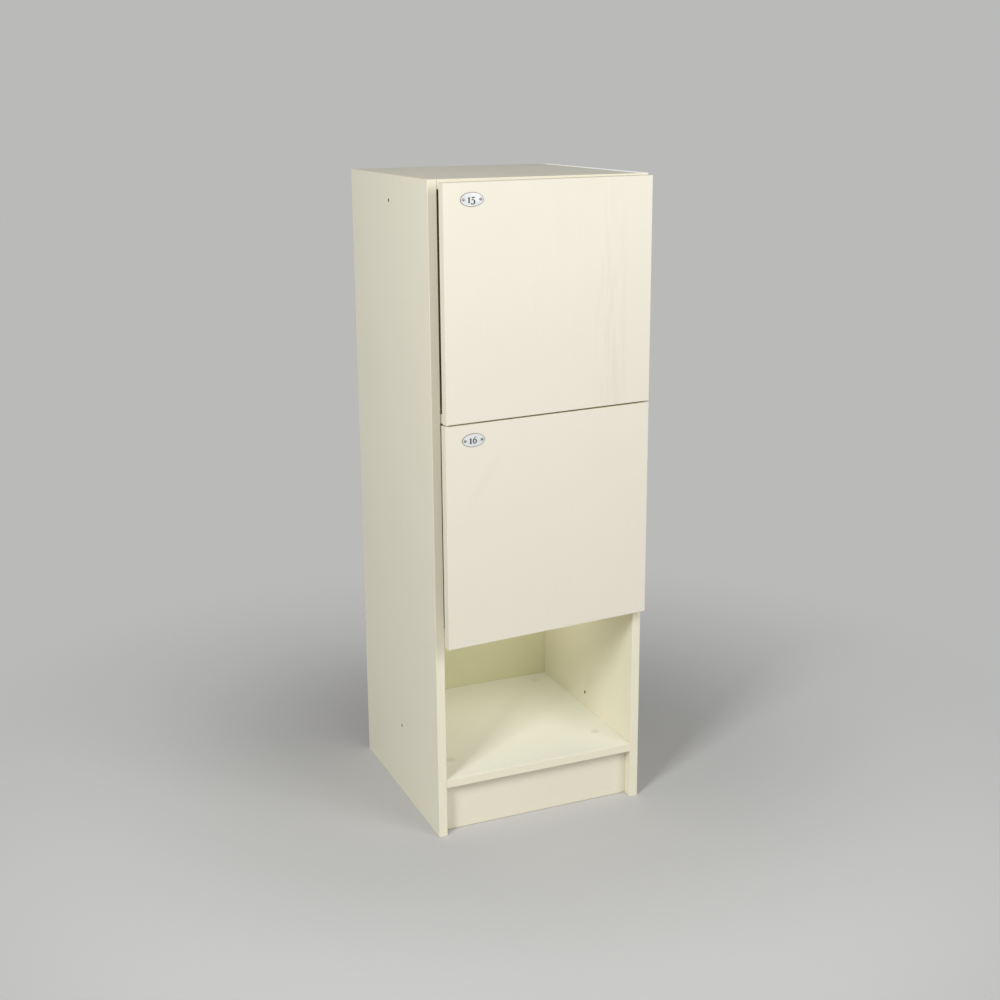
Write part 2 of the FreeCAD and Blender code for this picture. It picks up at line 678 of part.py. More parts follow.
plinth_rear = size["plinth_setback"] + size["board"]
blocks, block_screws = [], []
for side in SIDES:
    across = side * size["block_spread"] / 2
    quarter = size["block_length"] / 4
    blocks.append(carcass.multiply(place(across, plinth_rear, bottom_low)))
    under = place(across - quarter, plinth_rear + size["block_side"] / 2, bottom_low - size["block_side"],
                  RIGHT, TURN_OVER_ANGLE)
    behind = place(across + quarter, plinth_rear + size["block_side"],
                   bottom_low - (size["block_side"] - size["block_bevel"]) / 2, RIGHT, HEAD_BACK_ANGLE)
    block_screws.append(carcass.multiply(under))
    block_screws.append(carcass.multiply(behind))
group("plinth_corner_blocks", corner_block(), blocks)
group("corner_block_screws", wood_screw("block_screw_pattern", "block_side"), block_screws)


# Concealed hinges: an arm on a mounting plate, whose eye turns on a pin inside the door's cup

front_text = "(door_stand_off + pivot_depth)"
arm_back_text = "(arm_lead + arm_depth)"


def hinge_arm(label, placement):
    """A channel along the side panel whose nose bends into the cup. Its origin is the pin's middle."""
    body = new_body(label)
    nose = new_sketch(body, "XY_Plane")
    rectangle(nose, "-" + arm_back_text, "0", "-eye/2", "nose_over")
    pad(body, nose, "nose_width", middle=True)
    eye = new_sketch(body, "XY_Plane")
    circle(eye, "0", "0", "eye")
    pad(body, eye, "nose_width", middle=True)
    neck = new_sketch(body, "XY_Plane")
    rectangle(neck, "-" + arm_back_text, "-arm_lead", "-eye/2", front_text + " + arm_neck")
    pad(body, neck, "nose_width", middle=True)
    channel = new_sketch(body, "XY_Plane")
    rectangle(channel, "-" + arm_back_text, "-arm_lead", front_text, front_text + " + arm_reach")
    pad(body, channel, "arm_width", middle=True)
    outer = -size["arm_lead"] - size["arm_depth"]
    round_edges(body, "arm_round", lambda middle, way: near(middle.x, outer) and near(abs(way.y), 1)
                and near(abs(middle.z), size["arm_width"] / 2))
    round_edges(body, "nose_round", lambda middle, way: near(middle.x, outer) and near(abs(way.z), 1)
                and near(middle.y, -size["eye"] / 2))
    hollow = new_sketch(body, "XY_Plane")
    rectangle(hollow, "arm_wall - " + arm_back_text, "overrun - arm_lead",
              front_text + " + arm_neck", front_text + " + arm_reach + overrun")
    pocket(body, hollow, "arm_width - arm_wall*2", middle=True)
    bore = new_sketch(body, "XY_Plane")
    circle(bore, "0", "0", "pin + pin_clear*2")
    pocket(body, bore, "nose_width + overrun", middle=True)
    screws = new_sketch(body, "YZ_Plane", "-" + arm_back_text)
    for at in ("fixing_screw_at", "adjusting_screw_at"):
        circle(screws, front_text + " + " + at, "0", "arm_screw + screw_clear*2")
    pocket(body, screws, "arm_wall + overrun", reverse=True)
    keep(body, label, placement)


rail_text = "(door_reveal + pivot_edge + arm_lead + arm_depth - arm_wall - board - rail_clear)"


def hinge_plate(label, placement):
    """A winged plate screwed to the side panel, with the rail that the arm slides over."""
    body = new_body(label)
    wings = new_sketch(body, "YZ_Plane")
    rectangle(wings, "plate_setback - plate_wing_width/2", "plate_setback + plate_wing_width/2",
              "-plate_wing/2", "plate_wing/2")
    pad(body, wings, "plate", reverse=True)
    round_edges(body, "plate_round", lambda middle, way: near(abs(way.x), 1))
    base = new_sketch(body, "YZ_Plane")
    rectangle(base, "rail_front", "rail_rear", "-arm_width/2", "arm_width/2")
    pad(body, base, "plate", reverse=True)
    rail = new_sketch(body, "YZ_Plane")
    half = "arm_width/2 - arm_wall - rail_clear"
    rectangle(rail, "rail_front", "rail_rear", "-(%s)" % half, half)
    pad(body, rail, rail_text, reverse=True)
    screws = new_sketch(body, "YZ_Plane")
    for height in ("-plate_screw_pitch/2", "plate_screw_pitch/2"):
        circle(screws, "plate_setback", height, "plate_screw + screw_clear*2")
    pocket(body, screws, "plate + overrun")
    sockets = new_sketch(body, "YZ_Plane", "-" + rail_text)
    for at in ("fixing_screw_at", "adjusting_screw_at"):
        circle(sockets, at, "0", "arm_screw + screw_clear*2")
    pocket(body, sockets, "arm_screw_bite + cam_clear", reverse=True)
    keep(body, label, placement)


ear_text = "(cup_edge + cup/2 - pivot_edge)"


def hinge_cup(label, placement):
    """A pressed cup with a long flange and two ears that hold the pin. Its mouth is the body's XZ plane."""
    body = new_body(label)
    shell = new_sketch(body, "XZ_Plane")
    circle(shell, "0", "0", "cup")
    pad(body, shell, "cup_depth")
    lip = new_sketch(body, "XZ_Plane")
    circle(lip, "0", "0", "cup + flange_lip*2")
    pad(body, lip, "flange", reverse=True)
    bar = new_sketch(body, "XZ_Plane")
    rectangle(bar, "-cup_screw_inset - flange_end/2", "flange_end/2 - cup_screw_inset",
              "-cup_screw_pitch/2", "cup_screw_pitch/2")
    pad(body, bar, "flange", reverse=True)
    ends = new_sketch(body, "XZ_Plane")
    holes = new_sketch(body, "XZ_Plane")
    for height in ("-cup_screw_pitch/2", "cup_screw_pitch/2"):
        circle(ends, "-cup_screw_inset", height, "flange_end")
        circle(holes, "-cup_screw_inset", height, "wood_screw + screw_clear*2")
    pad(body, ends, "flange", reverse=True)
    pocket(body, holes, "flange + overrun")
    cavity = new_sketch(body, "XZ_Plane", "-flange")
    circle(cavity, "0", "0", "cup - cup_wall*2")
    pocket(body, cavity, "flange + cup_depth - cup_wall", reverse=True)
    ear = new_sketch(body, "XY_Plane", "nose_width/2 + ear_clear")
    rectangle(ear, ear_text + " - ear_width/2", ear_text + " + ear_width/2",
              "cup_wall/2 - cup_depth", "ear_width/2 - pivot_depth")
    mirrored(body, pad(body, ear, "ear"), "XY_Plane")
    seat = new_sketch(body, "XY_Plane")
    circle(seat, ear_text, "-pivot_depth", "pin + pin_seat_clear*2")
    pocket(body, seat, "nose_width + ear_clear*2 + ear*2 + overrun", middle=True)
    keep(body, label, placement)


def hinge_pin(label, placement):
    body = new_body(label)
    section = new_sketch(body, "XY_Plane")
    circle(section, "0", "0", "pin")
    pad(body, section, "nose_width + ear_clear*2 + ear*2", middle=True)
    keep(body, label, placement)


# Doors, with what is fixed to them

DOORS = ("upper", "lower")
cup_x = size["unit_width"] / 2 - size["door_reveal"] - size["cup_edge"] - size["cup"] / 2
cup_x_text = "(unit_width/2 - door_reveal - cup_edge - cup/2)"
label_x_text = "(door_reveal + label_edge - unit_width/2)"
latch_x = size["latch_inset"] - inner
latch_y = size["latch_front"] + size["latch_foot_at"] + size["latch_foot_length"] / 2
latch_ceilings = {"upper": top_low, "lower": divider_low}


def door_slab(which):
    """A slab whose back is the body's XZ plane, bored for the cups and for the number plate's screws."""
    label = which + "_door"
    body = new_body(label)
    outline = new_sketch(body, "XZ_Plane")
    rectangle(outline, "door_reveal - unit_width/2", "unit_width/2 - door_reveal", "0", "door_height")
    pad(body, outline, "door_board")
    round_edges(body, "door_round", lambda middle, way: near(way.y, 0))
    cups = new_sketch(body, "XZ_Plane")
    screws = new_sketch(body, "XZ_Plane")
    for height in ("hinge_inset", "door_height - hinge_inset"):
        circle(cups, cup_x_text, height, "cup + cup_clear*2")
        for side in (" - ", " + "):
            circle(screws, cup_x_text + " - cup_screw_inset", height + side + "cup_screw_pitch/2",
                   "wood_screw + screw_clear*2")
    pocket(body, cups, "cup_depth + cup_clear", reverse=True)
    pocket(body, screws, "wood_screw_bite + cam_clear", reverse=True)
    pegs = new_sketch(body, "XZ_Plane", "door_board")
    for side in (" - ", " + "):
        circle(pegs, label_x_text + side + "label_screw_pitch/2", "door_height - label_drop",
               "label_screw + screw_clear*2")
    pocket(body, pegs, "label_screw_bite + cam_clear")
    keep(body, label, door_frame(which).multiply(place(0, -size["door_stand_off"], door_lows[which])))


def number_plate(which):
    """A thin oval plate with a bevelled front edge and two screw holes."""
    half_width = size["label_width"] / 2
    half_height = size["label_height"] / 2
    oval = Part.Ellipse(Vector(), half_width, half_height)
    blank = Part.Face(Part.Wire(oval.toShape())).extrude(UP * size["label_thick"])
    rim = [edge for edge in blank.Edges if near(edge.BoundBox.ZMin, size["label_thick"])]
    shape = blank.makeChamfer(size["label_bevel"], rim)
    radius = size["label_screw"] / 2 + size["screw_clear"]
    for side in SIDES:
        start = Vector(side * size["label_screw_pitch"] / 2, 0, 0)
        shape = shape.cut(Part.makeCylinder(radius, size["label_thick"], start, UP))
    item = document.addObject("Part::Feature", which + "_number_plate")
    item.Shape = shape
    seat = place(label_x, label_y, label_heights[which], RIGHT, HEAD_FRONT_ANGLE)
    keep(item, which + "_number_plate", door_frame(which).multiply(seat))


def label_screw():
    """A small screw with a slotted head."""
    body = pan_screw("label_screw_pattern", "label_screw", "label_screw_head", "label_screw_crown",
                     "label_thick + label_screw_bite")
    slot = new_sketch(body, "XY_Plane", "label_screw_crown")
    rectangle(slot, "-label_screw_head", "label_screw_head", "-label_slot/2", "label_slot/2")
    pocket(body, slot, "label_slot_depth")
    return body


label_x = size["door_reveal"] + size["label_edge"] - size["unit_width"] / 2
label_y = -size["door_stand_off"] - size["door_board"]
label_heights = {which: door_tops[which] - size["label_drop"] for which in DOORS}
cup_screw = wood_screw("cup_screw_pattern", "flange")
small_screw = label_screw()
plate_screws, fixing_screws, adjusting_screws = [], [], []
arm_x = pivot_x - size["arm_lead"] - size["arm_depth"]
for which in DOORS:
    frame = door_frame(which)
    door_slab(which)
    cup_screws = []
    for end, height in hinge_levels(which).items():
        hinge = "%s_door_%s_hinge" % (which, end)
        hinge_arm(hinge + "_arm", carcass.multiply(place(pivot_x, pivot_y, height)))
        hinge_plate(hinge + "_plate", carcass.multiply(place(inner, 0, height)))
        hinge_cup(hinge + "_cup", frame.multiply(place(cup_x, -size["door_stand_off"], height)))
        hinge_pin(hinge + "_pin", frame.multiply(place(pivot_x, pivot_y, height)))
        for side in SIDES:
            lifted = height + side * size["cup_screw_pitch"] / 2
            seat = place(cup_x - size["cup_screw_inset"], size["flange"] - size["door_stand_off"], lifted,
                         RIGHT, HEAD_BACK_ANGLE)
            cup_screws.append(frame.multiply(seat))
            lifted = height + side * size["plate_screw_pitch"] / 2
            seat = place(inner - size["plate"], size["plate_setback"], lifted, BACK, HEAD_LEFT_ANGLE)
            plate_screws.append(carcass.multiply(seat))
        seat = place(arm_x, size["fixing_screw_at"], height, BACK, HEAD_LEFT_ANGLE)
        fixing_screws.append(carcass.multiply(seat))
        seat = place(arm_x, size["adjusting_screw_at"], height, BACK, HEAD_LEFT_ANGLE)
        adjusting_screws.append(carcass.multiply(seat))
    group(which + "_door_cup_screws", cup_screw, cup_screws)
    number_plate(which)
    label_screws = []
    for side in SIDES:
        across = label_x + side * size["label_screw_pitch"] / 2
        seat = place(across, label_y - size["label_thick"], label_heights[which], RIGHT, HEAD_FRONT_ANGLE)
        label_screws.append(frame.multiply(seat))
    group(which + "_number_plate_screws", small_screw, label_screws)
arm_screw = pan_screw("arm_screw_pattern", "arm_screw", "arm_screw_head", "arm_screw_crown",
                      "arm_wall + rail_clear + arm_screw_bite")
plate_screw = pan_screw("plate_screw_pattern", "plate_screw", "plate_screw_head", "plate_screw_crown",
                        "plate + plate_screw_bite")
group("hinge_plate_screws", plate_screw, plate_screws)
group("arm_fixing_screws", arm_screw, fixing_screws)
group("arm_adjusting_screws", arm_screw, adjusting_screws)


# Push latches that hold a closed door and let it go when it is pressed

def latch_housing(which):
    """A rounded housing hung under a board, with a foot across it and a bore for the plunger."""
    label = which + "_latch_housing"
    body = new_body(label)
    case = new_sketch(body, "XZ_Plane")
    rectangle(case, "-latch_width/2", "latch_width/2", "-latch_height", "0")
    pad(body, case, "latch_length", reverse=True)
    round_edges(body, "latch_round", lambda middle, way: near(abs(way.y), 1)
                and near(middle.z, -size["latch_height"]))
    foot = new_sketch(body, "XY_Plane")
    rectangle(foot, "-latch_foot_width/2", "latch_foot_width/2",
              "latch_foot_at", "latch_foot_at + latch_foot_length")
    pad(body, foot, "latch_foot", reverse=True)
    screws = new_sketch(body, "XY_Plane")
    for across in ("-latch_screw_pitch/2", "latch_screw_pitch/2"):
        circle(screws, across, "latch_foot_at + latch_foot_length/2", "wood_screw + screw_clear*2")
    pocket(body, screws, "latch_foot + overrun")
    bore = new_sketch(body, "XZ_Plane")
    circle(bore, "0", "-latch_height/2", "plunger + plunger_clear*2")
    pocket(body, bore, "plunger_bore")
    keep(body, label, carcass.multiply(place(latch_x, size["latch_front"], latch_ceilings[which])))


def latch_plunger(which):
    """A rod with a wider tip, turned about Z with the tip's front at z 0."""
    label = which + "_latch_plunger"
    body = turned(label, (
        ("0", "0"),
        ("plunger_tip/2 - tip_round", "0"),
        ("plunger_tip/2", "-tip_round"),
        ("plunger_tip/2", "-plunger_tip_length"),
        ("plunger/2", "-plunger_tip_length"),
        ("plunger/2", "-plunger_length"),
        ("0", "-plunger_length"),
    ))
    tip = size["strike_thick"] + size["tip_clear"] - size["door_stand_off"]
    height = latch_ceilings[which] - size["latch_height"] / 2
    keep(body, label, carcass.multiply(place(latch_x, tip, height, RIGHT, HEAD_FRONT_ANGLE)))


def strike_plate(which):
    """A thin steel disc on the door's back, in front of the plunger."""
    label = which + "_strike_plate"
    body = new_body(label)
    disc = new_sketch(body, "XZ_Plane")
    circle(disc, "0", "0", "strike")
    pad(body, disc, "strike_thick", reverse=True)
    height = latch_ceilings[which] - size["latch_height"] / 2
    keep(body, label, door_frame(which).multiply(place(latch_x, -size["door_stand_off"], height)))


latch_screws = []
for which in DOORS:
    latch_housing(which)
    latch_plunger(which)
    strike_plate(which)
    for side in SIDES:
        across = latch_x + side * size["latch_screw_pitch"] / 2
        seat = place(across, latch_y, latch_ceilings[which] - size["latch_foot"], RIGHT, TURN_OVER_ANGLE)
        latch_screws.append(carcass.multiply(seat))
group("latch_screws", wood_screw("latch_screw_pattern", "latch_foot"), latch_screws)


# Checks, then one file for each sub-part

document.recompute()
for item in document.Objects:
    if "Invalid" in item.State or "Error" in item.State:
        raise RuntimeError("%s did not build: %s" % (item.Label, item.State))
for item in nodes:
    if item.Shape.isNull() or not item.Shape.isValid() or not item.Shape.Solids:
        raise RuntimeError("%s has no sound solid" % item.Label)
os.makedirs("parts", exist_ok=True)
for item in nodes:
    item.Shape.exportStep("parts/%s.step" % item.Label)
print("%d sub-parts, %d solids" % (len(nodes), sum(len(item.Shape.Solids) for item in nodes)))
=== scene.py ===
"""Dresses a mudroom locker unit in Blender.

The boards, hinges and latches keep their CAD shapes and get finishes. Number plates, numerals, screws
and cover caps are drawn here as surfaces. Lengths are in metres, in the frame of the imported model.
"""
import json
import math

import bpy
import numpy as np
from bpy.props import FloatProperty, FloatVectorProperty, PointerProperty, StringProperty
from mathutils import Matrix, Vector


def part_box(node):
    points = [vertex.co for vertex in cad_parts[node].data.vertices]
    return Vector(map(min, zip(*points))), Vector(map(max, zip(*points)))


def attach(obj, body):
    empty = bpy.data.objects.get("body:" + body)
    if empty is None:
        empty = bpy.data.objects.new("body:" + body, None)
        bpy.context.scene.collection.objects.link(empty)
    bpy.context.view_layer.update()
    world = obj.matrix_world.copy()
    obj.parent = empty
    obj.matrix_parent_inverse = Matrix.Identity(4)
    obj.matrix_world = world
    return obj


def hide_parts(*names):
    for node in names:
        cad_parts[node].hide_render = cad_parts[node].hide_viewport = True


bl_info = {
    "name": "Locker unit dressing",
    "version": (1, 0, 0),
    "blender": (4, 5, 0),
    "location": "View3D > Sidebar > Locker",
    "description": "Finishes, number plates, numerals, screws and cover caps for a locker unit",
    "category": "Object",
}

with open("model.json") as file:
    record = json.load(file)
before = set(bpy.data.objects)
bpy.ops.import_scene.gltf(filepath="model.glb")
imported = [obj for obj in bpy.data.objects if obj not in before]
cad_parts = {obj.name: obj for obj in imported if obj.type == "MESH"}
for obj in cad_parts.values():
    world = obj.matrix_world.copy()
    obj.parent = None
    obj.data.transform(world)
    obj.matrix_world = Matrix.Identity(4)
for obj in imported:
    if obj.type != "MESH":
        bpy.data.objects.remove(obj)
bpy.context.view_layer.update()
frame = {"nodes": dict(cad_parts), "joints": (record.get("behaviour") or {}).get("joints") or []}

MM = 0.001
DOORS = ("upper", "lower")

# A distance beyond all boards, and a box whose faces none of them touches
FAR = 9.0
FREE = (-FAR, -FAR, -FAR), (FAR, FAR, FAR)

# Turn of each screw's recess from the one before
GOLDEN_ANGLE = math.radians(137.5)

# Rows of a number plate's grid that lie on the enamel, those with the bare edge, and the angle in degrees
# over which an edge of a plate or numeral stays sharp
ENAMEL_ROWS = 22
RIM_ROWS = slice(ENAMEL_ROWS + 1, ENAMEL_ROWS + 7)
PLATE_CREASE = 50.0

# Outer part of a cover cap, over its plug
CAP_LIP = 0.8 * MM

# The range that most values of a noise lie in
NOISE = 0.3, 0.7

# Ripples on the upper door: how far from its hinged edge they begin and end, the width of their soft
# sides, the stretch under the top in which they fade, the noise's scale on each axis, and their strength
RIPPLE_PLACE, RIPPLE_SIDE, RIPPLE_FADE = (0.12, 0.042), 0.02, 0.25
RIPPLE_SCALE, RIPPLE_STRENGTH = (160.0, 160.0, 9.0), 0.075

# Wiping mark on the lower door: how far from its left and top edges, its lean, half sizes and strength
WIPE_PLACE, WIPE_LEAN = (0.072, 0.098), math.radians(35.0)
WIPE_REACH, WIPE_STRENGTH = (0.014, 1.0, 0.075), 0.032

# Widths on a board in millimetres: edge band, wear over it, joint line at the ends, bare edge, and the
# skin under which a hole or a groove begins, painted dark as shade. Then how much chipboard shows in the
# glue line, the wear and the joint line, whose dark is partly painted shade of the gap
BAND, WEAR, JOINT_SHADE, RAW, SKIN = 0.9, 2.0, 0.4, 0.25, 0.45
SEAM_STRENGTH, WEAR_STRENGTH, JOINT_SHADE_STRENGTH = 0.16, 0.14, 0.55

# How far the shading of the painted highlight band leans to the left and the front, towards the key lamp
HIGHLIGHT_LEAN = -1.1, -0.9


# Sizes and colours

def length(name, description, millimetres):
    return FloatProperty(name=name, description=description, default=millimetres * MM, min=0.0,
                         unit="LENGTH", precision=5)


def share(name, description, default):
    return FloatProperty(name=name, description=description, default=default, min=0.0, max=1.0,
                         subtype="FACTOR")


def colour(name, description, red, green, blue):
    return FloatVectorProperty(name=name, description=description, default=(red, green, blue), min=0.0,
                               max=1.0, size=3, subtype="COLOR")


def angle(name, description, degrees):
    return FloatProperty(name=name, description=description, default=math.radians(degrees),
                         subtype="ANGLE")


def watts(name, description, default):
    return FloatProperty(name=name, description=description, default=default, min=0.0, unit="POWER")


def numerals(name, description, default):
    return StringProperty(name=name, description=description, default=default)


class LockerPlateSizes(bpy.types.PropertyGroup):
    dome: length("Dome", "Middle of the number plate above its edge", 0.5)
    rim: length("Rim", "Width of the bare edge around the enamel", 1.3)
    rim_bead: length("Rim bead", "Height of the rolled edge above the enamel beside it", 0.12)
    ink: length("Ink", "Thickness of the numerals' enamel", 0.14)
    upper_number: numerals("Upper number", "Numerals on the upper door", "15")
    lower_number: numerals("Lower number", "Numerals on the lower door", "16")


class LockerFixingSizes(bpy.types.PropertyGroup):
    cross_width: share("Cross width", "Cross recess arm over the head's diameter", 0.17)
    cross_reach: share("Cross reach", "Cross recess over the head's diameter", 0.62)
    cross_depth: share("Cross depth", "Cross recess over the head's height", 0.8)
    slot_width: share("Slot width", "Slot of a number plate screw over the head's diameter", 0.2)
    slot_depth: share("Slot depth", "Slot of a number plate screw over the head's height", 0.7)
    cap_groove: length("Cap groove", "Ring groove in a cover cap", 0.12)


class LockerColours(bpy.types.PropertyGroup):
    board: colour("Board", "Cream melamine of the carcass", 0.905, 0.865, 0.70)
    # Same melamine as the carcass: the shelf is painted lighter and greener, the plinth darker and
    # pinker, as light and shade
    shelf: colour("Bottom shelf", "Cream melamine of the cubby's floor", 0.915, 0.915, 0.81)
    plinth: colour("Plinth", "Cream melamine of the plinth", 0.90, 0.845, 0.69)
    door: colour("Door", "Cream finish of the doors", 0.90, 0.855, 0.72)
    smear: colour("Smears", "Ripples and wiping marks on the doors", 0.42, 0.40, 0.38)
    band: colour("Edge band", "Front edges of the boards", 0.925, 0.875, 0.69)
    door_band: colour("Door band", "Edges of the doors", 0.88, 0.832, 0.662)
    # Whiter than the edge band: a painted highlight on the right panel's top edge
    highlight_band: colour("Highlit band", "Top edge of the right side panel", 0.95, 0.935, 0.89)
    chip: colour("Chipboard", "Bare rear and bottom edges", 0.50, 0.36, 0.20)
    # Painted shade: it darkens the chipboard inside holes and grooves nearly to black
    hole_shade: colour("Bore tint", "Over the chipboard inside the holes and grooves", 0.08, 0.07, 0.06)
    # Partly the panel's own cream, partly painted bounce light: yellower and greener than the boards, as
    # in the cubby's light
    back: colour("Back panel", "Cream face of the back panel", 0.92, 0.90, 0.62)
    hardboard: colour("Hardboard", "Rear face of the back panel", 0.27, 0.155, 0.075)
    cap: colour("Cover cap", "Grey-cream plastic of the cover caps", 0.82, 0.815, 0.69)
    enamel: colour("Enamel", "Number plates", 0.825, 0.835, 0.84)
    rim: colour("Plate rim", "Bare edge of the number plates", 0.33, 0.31, 0.28)
    ink: colour("Ink", "Numerals", 0.035, 0.038, 0.036)
    nickel: colour("Nickel", "Hinges and plates", 0.78, 0.765, 0.73)
    zinc: colour("Zinc", "Cam locks and screws", 0.62, 0.62, 0.61)
    aged: colour("Aged steel", "Screws of the number plates", 0.37, 0.37, 0.34)
    latch: colour("Latch plastic", "Push latches", 0.56, 0.555, 0.53)
    beech: colour("Beech", "Dowels and corner blocks", 0.55, 0.34, 0.17)
    floor: colour("Floor", "Studio floor", 0.62, 0.62, 0.615)
    backdrop: colour("Backdrop", "What lies beyond the floor", 0.49, 0.49, 0.485)


class LockerStage(bpy.types.PropertyGroup):
    eye: FloatVectorProperty(name="Camera", description="Place of the camera", size=3, unit="LENGTH",
                             subtype="XYZ", default=(-1.00955, -2.35806, 1.28462))
    yaw: angle("Yaw", "Camera turned to the right", 23.0853)
    pitch: angle("Pitch", "Camera tipped down", 14.4307)
    roll: angle("Roll", "Camera leaning to the right", 0.4029)
    focal: FloatProperty(name="Focal length", description="Of the camera", default=51.841, unit="CAMERA")
    shift: FloatProperty(name="Shift", description="Of the frame, up from the optical axis",
                         default=-0.03396)
    key_power: watts("Key light", "Left softbox", 41.5)
    side_power: watts("Side light", "Right softbox", 12.0)
    fill_power: watts("Fill light", "Front softbox", 13.0)
    cubby_power: watts("Cubby light", "Small lamp in the cubby", 0.14)
    world_level: FloatProperty(name="World", description="Level of the even light", default=0.27)


def settings(name):
    return getattr(bpy.context.scene, "locker_" + name)


# Shapes

def swing(which):
    """The turn about its hinge pins that brings a closed door to where it stands at rest."""
    joint = next(item for item in frame["joints"] if item["name"] == which + "_door_swing")
    pin = Vector(joint["pos_m"])
    ajar = Matrix.Rotation(-math.radians(joint["range_deg"][0]), 4, "Z")
    return Matrix.Translation(pin) @ ajar @ Matrix.Translation(-pin)


def moved(matrix, points):
    """Points of any grid, taken through a matrix."""
    matrix = np.array(matrix)
    return points @ matrix[:3, :3].T + matrix[:3, 3]


def solids(node, turn=Matrix()):
    """The vertices of each separate solid in a CAD node, with a turn undone.

    Vertices at one place share a number. The lowest number in each triangle spreads to its corners until
    every solid holds one number.
    """
    mesh = frame["nodes"][node].data
    points = np.empty(len(mesh.vertices) * 3)
    mesh.vertices.foreach_get("co", points)
    points = points.reshape(-1, 3)
    corners = np.empty(len(mesh.loops), np.int32)
    mesh.loops.foreach_get("vertex_index", corners)
    place = np.unique(np.round(points, 6), axis=0, return_inverse=True)[1].reshape(-1)
    triangles = place[corners].reshape(-1, 3)
    label, before = np.arange(place.max() + 1), None
    while before is None or (label != before).any():
        before = label.copy()
        np.minimum.at(label, triangles, label[triangles].min(axis=1, keepdims=True))
    points = moved(turn.inverted(), points)
    return [points[label[place] == number] for number in np.unique(label[place])]


def seat(points, flat=False):
    """Where a round fitting sits: the middle of its outer end, its direction, radius and length.

    The axis is the longest side of its box, or the shortest for a flat fitting. The outer end is the one
    that the widest vertices are nearest to.
    """
    low, high = points.min(axis=0), points.max(axis=0)
    middle, sides = (low + high) / 2, high - low
    axis = sides.argmin() if flat else sides.argmax()
    radius = np.linalg.norm(np.delete(points - middle, axis, axis=1), axis=1)
    outward = np.sign(points[radius > 0.98 * radius.max(), axis].mean() - middle[axis])
    end = middle.copy()
    end[axis] += outward * sides[axis] / 2
    direction = np.zeros(3)
    direction[axis] = outward
    return Vector(end), Vector(direction), radius.max(), sides[axis]


def standing(place, direction, turn=0.0):
    """A matrix that stands a shape's +Z along a direction at a place, turned about that direction."""
    facing = direction.to_track_quat("Z", "Y").to_matrix().to_4x4()
    return Matrix.Translation(place) @ facing @ Matrix.Rotation(turn, 4, "Z")


def skin(points, close_end=True):
    """Vertices and faces of a surface given as rows of points that go round it.

    A fan of triangles joins the first row to its mean point, and the last row too where it closes. The
    faces are turned over where the volume that they hold comes out negative.
    """
    rows, columns = points.shape[:2]
    start = np.arange(columns) + columns * np.arange(rows)[:, None]
    ahead = np.roll(start, -1, axis=1)
    quads = np.stack((start[:-1], start[1:], ahead[1:], ahead[:-1]), axis=-1).reshape(-1, 4)
    pole = np.full(columns, rows * columns)
    fans = [np.stack((pole, start[0], ahead[0]), axis=-1)]
    vertices = [points.reshape(-1, 3), points[:1].mean(axis=1)]
    if close_end:
        fans.append(np.stack((pole + 1, ahead[-1], start[-1]), axis=-1))
        vertices.append(points[-1:].mean(axis=1))
    vertices, fans = np.concatenate(vertices), np.concatenate(fans)
    corners = vertices[np.concatenate((fans, quads[:, :3], quads[:, [0, 2, 3]]))]
    volume = np.einsum("ij,ij->", corners[:, 0], np.cross(corners[:, 1], corners[:, 2]))
    if close_end and volume < 0:
        quads, fans = quads[:, ::-1], fans[:, ::-1]
    return vertices, quads, fans


def make_object(name, grids, material, crease=35.0, close_end=True, attribute=None):
    """One mesh object from any number of grids, smooth but for edges sharper than the crease.

    The attribute is a name and a value for each vertex.
    """
    vertices, faces, count = [], [], 0
    for grid in grids:
        points, quads, fans = skin(grid, close_end)
        vertices.append(points)
        faces += (quads + count).tolist() + (fans + count).tolist()
        count += len(points)
    mesh = bpy.data.meshes.new(name)
    mesh.from_pydata(np.concatenate(vertices).tolist(), [], faces)
    mesh.polygons.foreach_set("use_smooth", np.ones(len(mesh.polygons), bool))
    mesh.set_sharp_from_angle(angle=math.radians(crease))
    if attribute:
        label, values = attribute
        layer = mesh.attributes.new(label, "FLOAT", "POINT")
        layer.data.foreach_set("value", values.astype(np.float32))
    mesh.materials.append(material)
    mesh.update()
    item = bpy.data.objects.new(name, mesh)
    bpy.context.scene.collection.objects.link(item)
    return item


